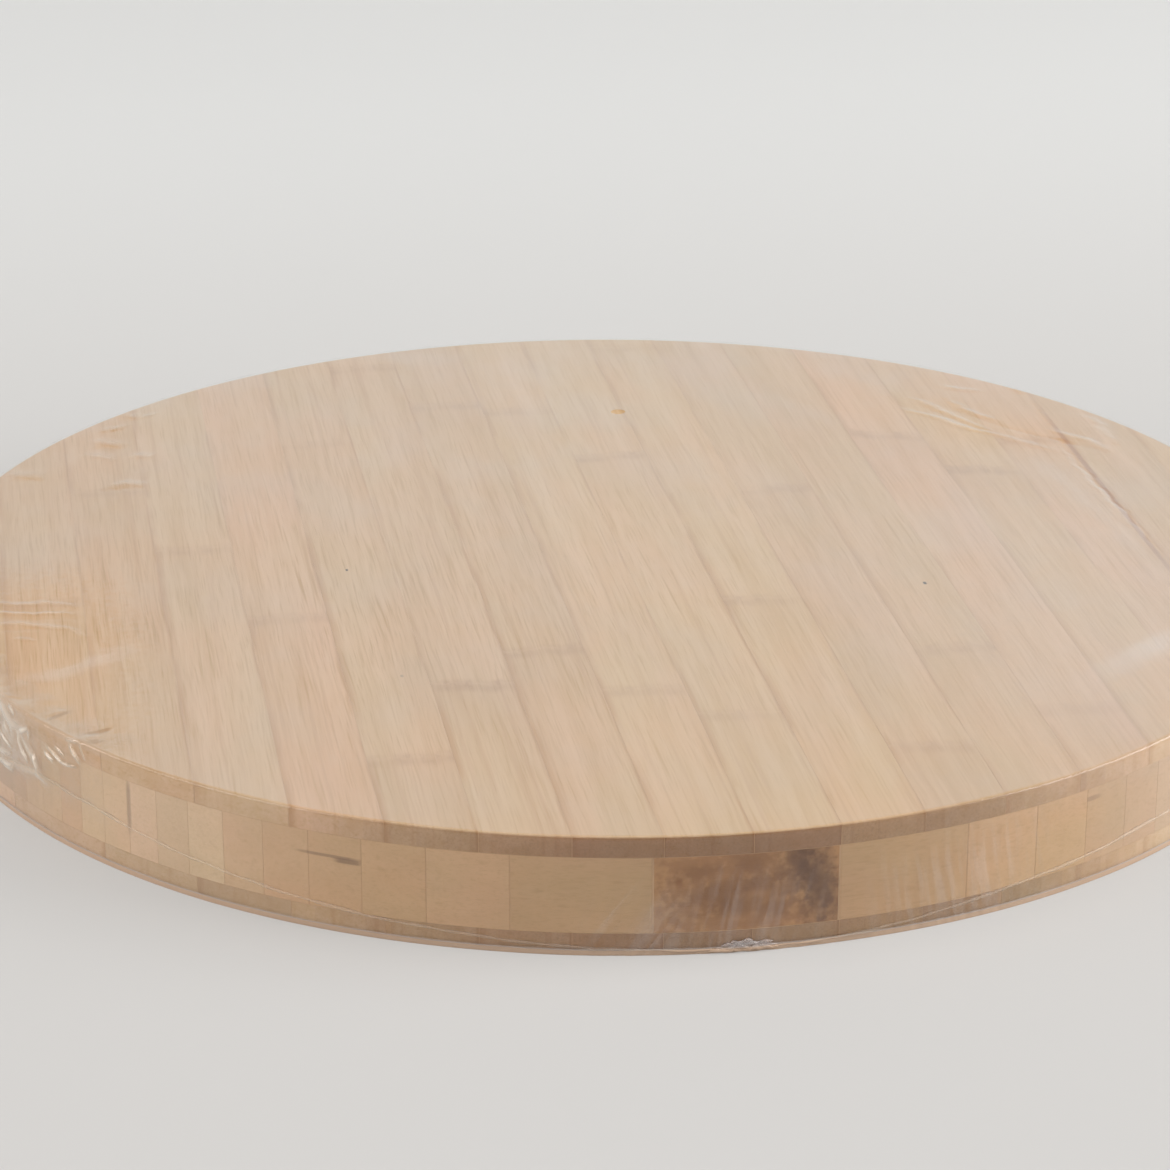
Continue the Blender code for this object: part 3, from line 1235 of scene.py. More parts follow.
@dataclass
class Glue:
    """The dried glue that fills the hair-wide joints, a little below the wood.

    Attributes:
        sink: How far the glue stays below the wood at the faces and the rim.
        slack: How far it stays off the wood on either side of it.
        ease: How much of its corners is cut off with the board's eased rims.
    """

    sink: float = 0.04 * MM
    slack: float = 0.005 * MM
    ease: float = 0.5 * MM

    RIM_STEPS = 180
    FACE_PITCH = 19.8 * MM
    CORE_PITCH = 6.5 * MM

    # The share of a pitch that is too narrow, at the rim, to hold a strip and its joint
    NO_STRIP = 1 / 8

    def sheets(
        self,
        shape: Faces,
        first_line: float,
        pitch: float,
        heights: tuple[float, float],
        cuts: tuple[float, float],
        along_x: bool,
    ) -> None:
        """Stand a thin sheet of glue in every joint of a ply.

        Args:
            shape: Where the sheets go.
            first_line: The middle glue line, across the grain.
            pitch: The distance from joint to joint.
            heights: Their lower and upper edge.
            cuts: How much is cut off their lower and upper corners.
            along_x: Whether the ply's grain runs along X.
        """
        radius = BOARD_RADIUS - self.sink
        thickness = GLUE_LINE - 2 * self.slack
        (base, top), (low_cut, high_cut) = heights, cuts
        count = math.ceil(2 * radius / pitch)
        for number in range(-count, count + 1):
            line = first_line + number * pitch
            if abs(line) > radius - pitch * self.NO_STRIP:
                continue
            half = math.sqrt(radius**2 - line**2)
            right = [(half - low_cut, base), (half, base + low_cut + self.slack)]
            right += [(half, top - high_cut - self.slack), (half - high_cut, top)]
            outline = right + [(-along, height) for along, height in reversed(right)]
            sides = []
            for across in (-thickness / 2, thickness / 2):
                places = [(along, line + across, height) for along, height in outline]
                corners = places if along_x else [(y, x, z) for x, y, z in places]
                sides.append([shape.verts.new(corner) for corner in corners])
                shape.faces.new(sides[-1])
            near, far = sides
            for pair in zip(near, near[1:] + near[:1], far[1:] + far[:1], far):
                shape.faces.new(pair)
        bmesh.ops.recalc_face_normals(shape, faces=shape.faces)

    def disc(self, shape: Faces, base: float, top: float) -> None:
        """Lay a round sheet of glue between two plies.

        Args:
            shape: Where the sheet goes.
            base: Its lower height.
            top: Its upper height.
        """
        radius = BOARD_RADIUS - self.sink
        bmesh.ops.create_cone(
            shape,
            cap_ends=True,
            segments=self.RIM_STEPS,
            radius1=radius,
            radius2=radius,
            depth=top - base,
        )
        bmesh.ops.translate(shape, verts=shape.verts, vec=(0, 0, (base + top) / 2))

    def build(self) -> None:
        """Build the glue of the three plies and the two layers between them."""
        material = GlueFinish().material("dried_glue")
        face_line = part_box("top_strip_right_01")[0].x - GLUE_LINE / 2
        core_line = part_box("core_strips_back_01")[0].y - GLUE_LINE / 2
        slack, ease = self.slack, self.ease
        top = (TOP_PLY_BASE, BOARD_TOP - self.sink)
        bottom = (BOARD_BASE + self.sink, BOTTOM_PLY_TOP)
        joints = {
            "glue_top_ply": (face_line, self.FACE_PITCH, top, (0.0, ease), False),
            "glue_core_ply": (core_line, self.CORE_PITCH, (CORE_BASE, CORE_TOP), (0.0, 0.0), True),
            "glue_bottom_ply": (face_line, self.FACE_PITCH, bottom, (ease, 0.0), False),
        }
        layers = {
            "glue_under_top_ply": (CORE_TOP + slack, TOP_PLY_BASE - slack),
            "glue_over_bottom_ply": (BOTTOM_PLY_TOP + slack, CORE_BASE - slack),
        }
        made = []
        for name, joint in joints.items():
            mesh = mesh_from(name, lambda shape, sizes=joint: self.sheets(shape, *sizes))
            made.append(add_object(name, mesh, material))
        for name, heights in layers.items():
            mesh = mesh_from(name, lambda shape, sizes=heights: self.disc(shape, *sizes))
            made.append(add_object(name, mesh, material))
        for piece in made:
            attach(piece, "root")
            log.info("built %s", piece.name)


@dataclass(frozen=True)
class Fold:
    """A ridge or hollow of the film over the top face.

    Attributes:
        width: Its half width, in millimetres.
        height: How far it stands up, or lies down if negative, in millimetres.
        tone: How hazy it is, or how clear if negative, from -1 to 1; on the loose film at the left it runs
            higher, and its haze there is painted highlight.
        path: The places that it runs through, in millimetres on the top face.
    """

    width: float
    height: float
    tone: float
    path: tuple[tuple[float, float], ...]

    TAPER = 0.6

    def profile(self, x: np.ndarray, y: np.ndarray) -> np.ndarray:
        """Work out how fully the fold is there, from 0 to 1.

        Args:
            x: Places on the top face, in millimetres.
            y: The same places' other coordinate.

        Returns:
            The share at each place.
        """
        best = np.full(x.shape, np.inf)
        share = np.zeros(x.shape)
        lengths = [math.dist(*pair) for pair in zip(self.path, self.path[1:])]
        run = sum(lengths)
        start = 0.0
        for (ax, ay), (bx, by), length in zip(self.path, self.path[1:], lengths):
            along = ((x - ax) * (bx - ax) + (y - ay) * (by - ay)) / length**2
            along = np.clip(along, 0, 1)
            distance = np.hypot(x - ax - along * (bx - ax), y - ay - along * (by - ay))
            closer = distance < best
            best = np.where(closer, distance, best)
            share = np.where(closer, (start + along * length) / run, share)
            start += length
        taper = np.sin(np.pi * np.clip(share, 0, 1)) ** self.TAPER
        return np.exp(-((best / self.width) ** 2)) * taper


@dataclass
class ShrinkFilm:
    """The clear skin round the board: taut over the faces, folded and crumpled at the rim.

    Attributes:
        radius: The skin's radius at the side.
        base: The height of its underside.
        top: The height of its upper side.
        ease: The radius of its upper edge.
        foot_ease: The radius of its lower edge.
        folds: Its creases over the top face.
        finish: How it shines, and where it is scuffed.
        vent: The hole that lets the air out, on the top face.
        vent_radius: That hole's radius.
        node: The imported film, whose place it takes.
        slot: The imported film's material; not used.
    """

    radius: float = CAD_HIGH.x
    base: float = CAD_LOW.z
    top: float = CAD_HIGH.z
    ease: float = 0.6 * MM
    foot_ease: float = 0.12 * MM
    folds: tuple[Fold, ...] = ()
    finish: FilmFinish = FilmFinish()
    vent: tuple[float, float] = (0.0194, 0.1052)
    vent_radius: float = 0.00205
    node: str = "shrink_film"
    slot: str = "clear_film"

    FINE_ZONES = ((-100.0, -42.0), (-14.0, 24.0))
    FINE_STEP = 0.2
    PLAIN_STEP = 0.75
    UNDER_RINGS = (0.05, 0.1, 0.14, 0.16, 0.169)
    LAST_RING = 0.012
    ARC_STEPS = 8
    SIDE_STEPS = 34
    VENT_CLEARANCE = 4.5 * MM
    VENT_STEPS = 32

    # The step from ring to ring over the top, outside each radius
    TOP_STEPS = ((0.125, 0.0005), (0.09, 0.003), (0.0, 0.012))

    # How far a row's outward direction points up or down where it counts as flat
    FLAT = 0.6

    # The relief, in millimetres, and the pleats' middle and reach round the rim, in degrees
    HIGHEST_FOLD = 0.75
    DEEPEST_FOLD = -0.12
    PLEAT_DEPTH = 0.07
    GATHER_DEPTH = 0.22
    SLACK_DEPTH = 0.05
    PLEATS = ((-8.0, 3.6), (15.5, 5.5))

    def angles(self) -> np.ndarray:
        """List the angles of the skin's columns, closer together where it is crumpled.

        Returns:
            The angles, in degrees.
        """
        angles = []
        angle = -180.0
        while angle < 180.0 - 1e-6:
            angles.append(angle)
            fine = any(low <= angle < high for low, high in self.FINE_ZONES)
            angle += self.FINE_STEP if fine else self.PLAIN_STEP
        return np.array(angles)

    def profile(self) -> np.ndarray:
        """List the skin's rings from the underside to the top.

        Returns:
            Rows of radius, height, and the outward direction's two parts.
        """
        rows = [(ring, self.base, 0.0, -1.0) for ring in self.UNDER_RINGS]
        foot = self.foot_ease
        for out, down in quarter_turn(self.ARC_STEPS):
            rows.append((self.radius - foot * (1 - out), self.base + foot * (1 - down), out, -down))
        inner = self.radius - self.ease
        low, high = self.base + foot, self.top - self.ease
        for step in range(1, self.SIDE_STEPS):
            rows.append((self.radius, low + (high - low) * step / self.SIDE_STEPS, 1.0, 0.0))
        for up, out in quarter_turn(self.ARC_STEPS):
            rows.append((inner + self.ease * out, high + self.ease * up, out, up))
        ring = inner
        while ring > self.LAST_RING:
            ring -= next(step for outside, step in self.TOP_STEPS if ring > outside)
            rows.append((ring, self.top, 0.0, 1.0))
        return np.array(rows)

    def relief(self, angles: np.ndarray, rows: np.ndarray) -> tuple[np.ndarray, np.ndarray]:
        """Work out how far the film stands off its plain form, in metres, and its tone.

        Args:
            angles: The columns' angles, in degrees.
            rows: The rings, as profile() lists them.

        Returns:
            The distance and the tone at each ring and column.
        """
        turn = np.radians(angles)[None, :]
        ring, height = rows[:, 0][:, None], rows[:, 1][:, None]
        x, y = ring * np.sin(turn) / MM, -ring * np.cos(turn) / MM
        on_top = rows[:, 3][:, None] > self.FLAT
        under = rows[:, 3][:, None] < -self.FLAT
        along = np.broadcast_to(angles[None, :] * math.pi / 180 * self.radius / MM, x.shape)
        inward = (self.radius - ring) / MM
        up = np.broadcast_to(np.where(on_top, self.top / MM + inward, height / MM), x.shape)

        lift, tone = np.zeros(x.shape), np.zeros(x.shape)
        waved_x = x + 0.45 * np.sin(y / 2.3 + x / 9) + 0.2 * np.sin(y / 0.9)
        waved_y = y + 0.45 * np.sin(x / 2.1 + y / 11) + 0.2 * np.sin(x / 0.8)
        for fold in self.folds:
            share = np.where(on_top, fold.profile(waved_x, waved_y), 0.0)
            lift += fold.height * share
            tone += fold.tone * share

        degrees = np.broadcast_to(angles[None, :], x.shape)
        pleat_noise = 0.6 * np.sin(along / 1.1 + 0.6 * np.sin(up / 5)) + 0.4 * np.sin(along / 0.47 + up / 14)
        pleats = sum(np.exp(-(((degrees - middle) / reach) ** 4)) for middle, reach in self.PLEATS)
        pleat_height = np.exp(-(((up - 9) / 11) ** 4))
        lift += self.PLEAT_DEPTH * pleats * pleat_height * pleat_noise

        gather = np.exp(-(((degrees - 0.1) / 4.0) ** 2)) * np.exp(-((up / 7) ** 2))
        lift += self.GATHER_DEPTH * gather * (0.5 + 0.5 * np.sin(along / 0.85 + 0.4 * up))

        slack = np.clip((ring - 0.14) / 0.03, 0, 1) * self.SLACK_DEPTH
        waves = np.sin(along / 17 + 1.3) * np.sin(up / 7 + along / 41) + 0.6 * np.sin(along / 7.3 + up / 5.2)
        lift += slack * waves
        lift = np.where(under, 0.0, np.clip(lift, self.DEEPEST_FOLD, self.HIGHEST_FOLD))
        return lift * MM, tone

    def skin_mesh(self) -> bpy.types.Mesh:
        """Build the skin, with the vent cut out.

        Returns:
            Its mesh.
        """
        angles, rows = self.angles(), self.profile()
        relief, tones = self.relief(angles, rows)
        turn = np.radians(angles)

        def fill(shape: Faces) -> None:
            """Join the rings with quads and close both ends.

            Args:
                shape: Where the faces go.
            """
            layer = shape.verts.layers.float.new(FILM_TONE)
            rings = []
            for (ring, height, out, up), lifts, row_tones in zip(rows, relief, tones):
                radii = ring + lifts * out
                heights = height + lifts * up
                corners = zip(radii * np.sin(turn), -radii * np.cos(turn), heights)
                rings.append([shape.verts.new(corner) for corner in corners])
                for corner, tone in zip(rings[-1], row_tones):
                    corner[layer] = tone
            count = len(angles)
            for lower, upper in zip(rings, rings[1:]):
                for column in range(count):
                    following = (column + 1) % count
                    quad = (lower[column], lower[following], upper[following], upper[column])
                    shape.faces.new(quad)
            for ring, height in ((rings[0], self.base), (rings[-1], self.top)):
                centre = shape.verts.new((0, 0, height))
                for column in range(count):
                    shape.faces.new((centre, ring[column], ring[(column + 1) % count]))
            bmesh.ops.recalc_face_normals(shape, faces=shape.faces)
            self.cut_vent(shape)

        return mesh_from("film_skin", fill, smooth=True)

    def cut_vent(self, shape: Faces) -> None:
        """Open the skin round the vent and join it to a round edge.

        Args:
            shape: The skin.
        """
        centre = Vector((*self.vent, self.top))

        def bearing(corner: bmesh.types.BMVert) -> float:
            """Give a corner's direction from the vent's middle."""
            return math.atan2(corner.co.y - centre.y, corner.co.x - centre.x)

        near = [v for v in shape.verts if (v.co - centre).length < self.VENT_CLEARANCE]
        bmesh.ops.delete(shape, geom=near, context="VERTS")
        around = {v for edge in shape.edges if edge.is_boundary for v in edge.verts}
        outer = sorted(around, key=bearing)
        hole = []
        for step in range(self.VENT_STEPS):
            turn = 2 * math.pi * (step + 0.5) / self.VENT_STEPS - math.pi
            offset = Vector((math.cos(turn), math.sin(turn), 0)) * self.vent_radius
            hole.append(shape.verts.new(centre + offset))
        self.stitch(shape, outer, hole, bearing)
        bmesh.ops.recalc_face_normals(shape, faces=shape.faces)

    def stitch(
        self,
        shape: Faces,
        outer: Sequence[bmesh.types.BMVert],
        inner: Sequence[bmesh.types.BMVert],
        bearing: Callable[[bmesh.types.BMVert], float],
    ) -> None:
        """Fill the band between two rings, each sorted by its corners' bearing.

        Args:
            shape: The skin.
            outer: The outer ring.
            inner: The inner ring.
            bearing: Gives a corner's direction from the middle.
        """
        first, second = 0, 0
        while first < len(outer) or second < len(inner):
            here, there = outer[first % len(outer)], inner[second % len(inner)]
            outer_next = bearing(outer[first]) if first < len(outer) else math.inf
            inner_next = bearing(inner[second]) if second < len(inner) else math.inf
            if outer_next <= inner_next:
                shape.faces.new((outer[first - 1], here, inner[second - 1]))
                first += 1
            else:
                shape.faces.new((inner[second - 1], there, outer[first - 1]))
                second += 1

    def build(self) -> None:
        """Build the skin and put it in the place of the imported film."""
        skin = add_object("film_skin", self.skin_mesh(), self.finish.material("clear_film"))
        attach(skin, "root")
        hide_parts(self.node)
        log.info("built %s", skin.name)


def sweep(
    shape: Faces, path: Sequence[Vector], sizes: Sequence[float], closed: bool = False
) -> None:
    """Sweep a small round section along a path that runs round the rim.

    Args:
        shape: Where the faces go.
        path: The middle of each section.
        sizes: The radius of each section.
        closed: Whether the path ends where it starts.
    """
    sides = 6
    loops = []
    for place, size in zip(path, sizes):
        out = Vector((place.x, place.y, 0)).normalized()
        loop = []
        for side in range(sides):
            turn = 2 * math.pi * side / sides
            offset = out * (size * math.cos(turn)) + Vector((0, 0, size * math.sin(turn)))
            loop.append(shape.verts.new(place + offset))
        loops.append(loop)
    following = loops[1:] + loops[:1] if closed else loops[1:]
    for loop, after in zip(loops, following):
        for side in range(sides):
            other = (side + 1) % sides
            shape.faces.new((loop[side], after[side], after[other], loop[other]))
    if not closed:
        shape.faces.new(loops[0])
        shape.faces.new(loops[-1])
    bmesh.ops.recalc_face_normals(shape, faces=shape.faces)


def add_film(name: str, fill: Callable[[Faces], None], finish: FilmFinish) -> None:
    """Add one loose piece of the film to the model.

    Args:
        name: The piece's name.
        fill: Puts its faces into an empty bmesh.
        finish: How it shines.
    """
    piece = add_object(name, mesh_from(name, fill, smooth=True), finish.material(name))
    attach(piece, "root")
    log.info("built %s", name)


@dataclass
class WeldSeam:
    """The welded edge of the film, a fine raised line round the rim.

    Attributes:
        stations: Angle in degrees and height in millimetres where the seam bends.
        size: The seam's half width, in metres.
        step: The angle from one of its sections to the next, in degrees.
    """

    stations: tuple[tuple[float, float], ...]
    size: float = 0.3 * MM
    step: float = 0.4

    WOBBLE = 0.25
    LOWEST = 0.45
    LUMPS = 0.8

    def build(self) -> None:
        """Build the seam as a thin lumpy bead that closes on itself."""
        angles = np.arange(-180.0, 180.0, self.step)
        heights = np.interp(angles, *zip(*self.stations))
        path, sizes = [], []
        for angle, height in zip(angles, heights):
            wobble = self.WOBBLE * noise.noise(Vector((angle * 0.5, 8.1, 2.2)))
            path.append(rim_point(angle, max(height + wobble, self.LOWEST) * MM, CAD_HIGH.x))
            sizes.append(self.size * (1 + self.LUMPS * noise.noise(Vector((angle * 0.9, 1.7, 0.3)))))
        finish = FilmFinish(gain=0.4, haze=0.09, roughness=0.35, sheen=tint(246, 232, 214))
        add_film("film_weld_seam", lambda shape: sweep(shape, path, sizes, closed=True), finish)


@dataclass
class GatheredEnd:
    """The knot of film where the weld was drawn together at the front, low on the rim.

    Attributes:
        strands: Where each of its folds starts and ends, in degrees, and its height, in millimetres.
        size: The folds' radius, in metres.
    """

    strands: tuple[tuple[float, float, float], ...] = (
        (-2.8, 0.2, 0.6),
        (-1.2, 2.3, 0.7),
        (-2.3, 1.4, 1.2),
        (-0.8, 2.2, 1.5),
        (-1.9, 0.6, 1.8),
        (-0.6, 1.9, 2.2),
        (-1.2, 0.9, 2.5),
        (-0.7, 0.4, 2.9),
    )
    size: float = 0.42 * MM

    STEPS = 40
    STAND_OFF = 0.10
    HEAVE = 0.45
    SWAY = 0.7

    def build(self) -> None:
        """Build the knot of wavy strands that lie over each other."""

        def fill(shape: Faces) -> None:
            """Sweep each strand along its own wavy path.

            Args:
                shape: Where the faces go.
            """
            for number, (start, end, height) in enumerate(self.strands):
                path, sizes = [], []
                for step in range(self.STEPS + 1):
                    share = step / self.STEPS
                    angle = start + (end - start) * share
                    sway = noise.noise(Vector((angle * 1.6, number * 3.1, 0.5)))
                    heave = noise.noise(Vector((angle * 1.9, number * 2.3, 7.5)))
                    out = CAD_HIGH.x + (self.STAND_OFF + self.HEAVE * abs(heave)) * MM
                    sizes.append(self.size * (0.15 + math.sin(math.pi * share) ** 0.6) * (1 + 0.6 * sway))
                    level = max((height + self.SWAY * sway) * MM, sizes[-1] + 0.05 * MM)
                    path.append(rim_point(angle, level, out))
                sweep(shape, path, sizes)

        finish = FilmFinish(gain=0.9, haze=0.21, roughness=0.30, sheen=tint(240, 230, 226))
        add_film("film_gathered_end", fill, finish)


@dataclass
class CrumpledFilm:
    """The loose film that stands bunched up over the upper rim at the left.

    Attributes:
        creases: Its folds: their paths are in degrees round the rim and millimetres of height, and their
            milky tone is painted highlight along the ridges.
        from_angle: Where it starts round the rim, in degrees.
        to_angle: Where it ends.
        foot: The height where it leaves the side, in metres.
        reach: How far it lies in over the top.
        swell: How high it billows between the folds, in millimetres.
        highest: How high anything of it stands off the skin, in millimetres.
        unseen: How many more folds lie round the rim, outside the picture.
        columns: How many steps its grid has round the rim.
        rows: How many steps its grid has up the rim.
        corner: The radius of the skin's upper edge.
    """

    creases: tuple[Fold, ...]
    from_angle: float = -84.0
    to_angle: float = -50.5
    foot: float = 10.0 * MM
    reach: float = 11.0 * MM
    swell: float = 0.50
    highest: float = 1.1
    unseen: int = 22
    columns: int = 400
    rows: int = 140
    corner: float = ShrinkFilm.ease

    MM_PER_DEGREE = 3.06
    HAZE = 2.0
    HAZE_END = -59.0
    SEED = 17

    # How far its edges go in under the skin, in millimetres, how clear they are, and its highest rise
    EDGE_SINK = 0.08
    EDGE_TONE = -1.6
    HIGHEST_RISE = 0.75

    def section(self, run: float) -> tuple[float, float, float, float]:
        """Follow the skin's outline up the side and in over the top.

        Args:
            run: The distance from the foot, in metres.

        Returns:
            The radius, the height, and the outward direction's two parts.
        """
        inner, upper = CAD_HIGH.x - self.corner, CAD_HIGH.z - self.corner
        side = upper - self.foot
        arc = self.corner * math.pi / 2
        if run < side:
            return CAD_HIGH.x, self.foot + run, 1.0, 0.0
        turn = min((run - side) / self.corner, math.pi / 2)
        past = max(run - side - arc, 0.0)
        out, up = math.cos(turn), math.sin(turn)
        return inner + self.corner * out - past, upper + self.corner * up, out, up

    def unseen_creases(self) -> list[Fold]:
        """Draw folds like the known ones for the part of the rim outside the picture.

        Returns:
            The folds.
        """
        draw = random.Random(self.SEED)
        made = []
        for _ in range(self.unseen):
            angle, height = draw.uniform(-82, -66), draw.uniform(16, 26)
            lean, bend, drop = draw.uniform(-0.8, 1.6), draw.uniform(-0.8, 0.8), draw.uniform(3, 7)
            path = tuple((angle + lean * s + bend * s * s, height - drop * s) for s in (0, 0.35, 0.7, 1))
            sizes = draw.uniform(0.4, 0.9), draw.uniform(0.3, 0.7), draw.uniform(0.5, 3.0)
            made.append(Fold(*sizes, path))
        return made

    def relief(self, angles: np.ndarray, runs: np.ndarray) -> tuple[np.ndarray, np.ndarray]:
        """Work out how far the film stands off the skin, in metres, and its tone.

        Args:
            angles: The columns' angles, in degrees.
            runs: The rows' distances from the foot, in metres.

        Returns:
            The distance and the tone at each row and column.
        """
        along, up = np.meshgrid(angles * self.MM_PER_DEGREE, (self.foot + runs) / MM)

        def rough(across: float, upward: float, seed: float) -> np.ndarray:
            """Smooth noise with features of these sizes, from -1 to 1."""
            return np.vectorize(lambda x, y: noise.noise(Vector((x / across, y / upward, seed))))(along, up)

        spread = (angles - self.from_angle)[None, :] / (self.to_angle - self.from_angle)
        rise = ((up - self.foot / MM) / 4, (up[-1, 0] - up) / 9)
        sides = np.minimum(spread, 1 - spread) * 9
        inside = np.minimum(np.minimum(*rise), sides) + 0.6 * rough(6, 5, 9.0)
        inside = np.clip(inside, 0, 1)
        lift = self.swell * np.clip(0.15 + 0.9 * rough(8, 7, 4.1) + 0.25 * rough(2.6, 3.2, 5.2), 0, 1)
        degrees = along / self.MM_PER_DEGREE
        within = np.clip((self.HAZE_END - degrees) / 6, 0, 1) * np.clip((degrees + 81) / 12, 0, 1)
        tone = self.HAZE * within * np.clip((29.5 - up) / 2, 0, 1)
        # The creases' milky tone is painted highlight along the ridges, over the real glints of their relief
        for crease in (*self.creases, *self.unseen_creases()):
            path = tuple((angle * self.MM_PER_DEGREE, height) for angle, height in crease.path)
            share = replace(crease, path=path).profile(along, up)
            lift += crease.height * share
            tone += crease.tone * share
        lift = np.clip(lift, 0, self.highest)
        outside = 1 - inside
        return (lift * inside - self.EDGE_SINK * outside) * MM, tone * inside + self.EDGE_TONE * outside

    def build(self) -> None:
        """Build the folds as one sheet whose edges go in under the skin."""
        angles = np.linspace(self.from_angle, self.to_angle, self.columns + 1)
        runs = np.linspace(0.0, CAD_HIGH.z - self.foot + self.reach, self.rows + 1)
        relief, tones = self.relief(angles, runs)

        def fill(shape: Faces) -> None:
            """Lay out a fine grid round the rim's edge and crumple it.

            Args:
                shape: Where the faces go.
            """
            layer = shape.verts.layers.float.new(FILM_TONE)
            grid = []
            for run, lifts, row_tones in zip(runs, relief, tones):
                radius, height, out, up = self.section(run)
                line = []
                for angle, lift, tone in zip(angles, lifts, row_tones):
                    upward = min(lift, self.HIGHEST_RISE * MM) * up
                    line.append(shape.verts.new(rim_point(angle, height + upward, radius + lift * out)))
                    line[-1][layer] = tone
                grid.append(line)
            for lower, upper in zip(grid, grid[1:]):
                for corners in zip(lower, lower[1:], upper[1:], upper):
                    shape.faces.new(corners)

        finish = FilmFinish(gain=1.5, roughness=0.08, sheen=tint(244, 234, 220))
        add_film("film_crumple", fill, finish)


@dataclass(frozen=True)
class Lamp:
    """A soft square lamp that looks at the board."""

    name: str
    place: tuple[float, float, float]
    width: float
    depth: float
    power: float
    colour: tuple[float, float, float] = (1.0, 1.0, 1.0)

    def build(self) -> None:
        """Hang the lamp and aim it."""
        data = bpy.data.lights.new(self.name, "AREA")
        data.shape = "RECTANGLE"
        data.size, data.size_y = self.width, self.depth
        data.energy = self.power
        data.color = self.colour
        lamp = bpy.data.objects.new(self.name, data)
        lamp.location = self.place
        lamp.rotation_mode = "QUATERNION"
        lamp.rotation_quaternion = (-Vector(self.place)).to_track_quat("-Z", "Y")
        bpy.context.scene.collection.objects.link(lamp)


@dataclass
class Studio:
    """The pale floor and backdrop, the soft lamps and the camera.

    Attributes:
        camera_place: Where the camera stands.
        camera_aim: The place on the board's top that it looks at.
        camera_roll: How far it is turned about its own axis, in degrees.
        lens: Its focal length in millimetres.
        floor_drop: How far the floor lies under the film, so that the two don't touch.
        floor_reach: How far the floor goes to the sides and the front, and the backdrop goes up.
        wall_distance: How far back the backdrop stands.
        sweep_radius: The radius of the bend between the floor and the backdrop.
        ambient: The strength of the light from all round.
        lamps: The soft lamps.
    """

    camera_place: tuple[float, float, float] = (-0.15869, -0.91679, 0.38744)
    camera_aim: tuple[float, float, float] = (-0.01162, -0.02554, 0.0288)
    camera_roll: float = 0.13
    lens: float = 118.24
    floor_drop: float = 0.02 * MM
    floor_reach: float = 6.0
    wall_distance: float = 2.2
    sweep_radius: float = 0.8
    ambient: float = 0.22
    lamps: tuple[Lamp, ...] = (
        Lamp("overhead_lamp", (0.0, -0.3, 2.2), 2.4, 2.4, 22.5),
        Lamp("right_lamp", (1.84, -0.42, 0.85), 1.6, 1.3, 43.0, (1.0, 0.995, 0.99)),
        Lamp("left_lamp", (-1.88, -0.34, 0.80), 1.9, 1.5, 25.5, (1.0, 0.96, 0.935)),
    )

    SWEEP_STEPS = 24
    FRAME_WIDTH_MM = 36.0
    AMBIENT_COLOUR = (1.0, 0.995, 0.985, 1.0)

    def backdrop(self) -> bpy.types.Mesh:
        """Build the floor that curves up into the backdrop.

        Returns:
            Its mesh.
        """
        reach, radius = self.floor_reach, self.sweep_radius
        outline = [(-reach, -self.floor_drop)]
        for out, down in quarter_turn(self.SWEEP_STEPS):
            back = self.wall_distance - radius + radius * out
            outline.append((back, radius * (1 - down) - self.floor_drop))
        outline.append((self.wall_distance, reach))

        def fill(shape: Faces) -> None:
            """Draw the outline out to both sides.

            Args:
                shape: Where the faces go.
            """
            left = [shape.verts.new((-reach, y, z)) for y, z in outline]
            right = [shape.verts.new((reach, y, z)) for y, z in outline]
            for first, second, third, fourth in zip(left, right, right[1:], left[1:]):
                shape.faces.new((first, second, third, fourth))

        return mesh_from("floor_sweep", fill, smooth=True)

    def build(self) -> None:
        """Set up everything round the board."""
        floor = add_object("floor_sweep", self.backdrop(), StageFinish().material("pale_paper"))
        for lamp in self.lamps:
            lamp.build()
        self.build_world()
        self.build_camera()

    def build_world(self) -> None:
        """Light the board a little from all round."""
        world = bpy.data.worlds.new("surroundings")
        world.use_nodes = True
        background = world.node_tree.nodes["Background"]
        background.inputs["Color"].default_value = self.AMBIENT_COLOUR
        background.inputs["Strength"].default_value = self.ambient
        bpy.context.scene.world = world

    def build_camera(self) -> None:
        """Stand the camera where the photograph was taken from."""
        data = bpy.data.cameras.new("camera")
        data.lens = self.lens
        data.sensor_width = self.FRAME_WIDTH_MM
        camera = bpy.data.objects.new("camera", data)
        place, aim = Vector(self.camera_place), Vector(self.camera_aim)
        facing = (aim - place).to_track_quat("-Z", "Y")
        roll = Quaternion((0, 0, 1), math.radians(self.camera_roll))
        camera.location = place
        camera.rotation_mode = "QUATERNION"
        camera.rotation_quaternion = facing @ roll
        bpy.context.scene.collection.objects.link(camera)
        bpy.context.scene.camera = camera


# Stains on the wood
AMBER = tint(150, 98, 54)
RUST = tint(122, 78, 44)
UMBER = tint(96, 66, 50)
SOOT = tint(40, 28, 20)

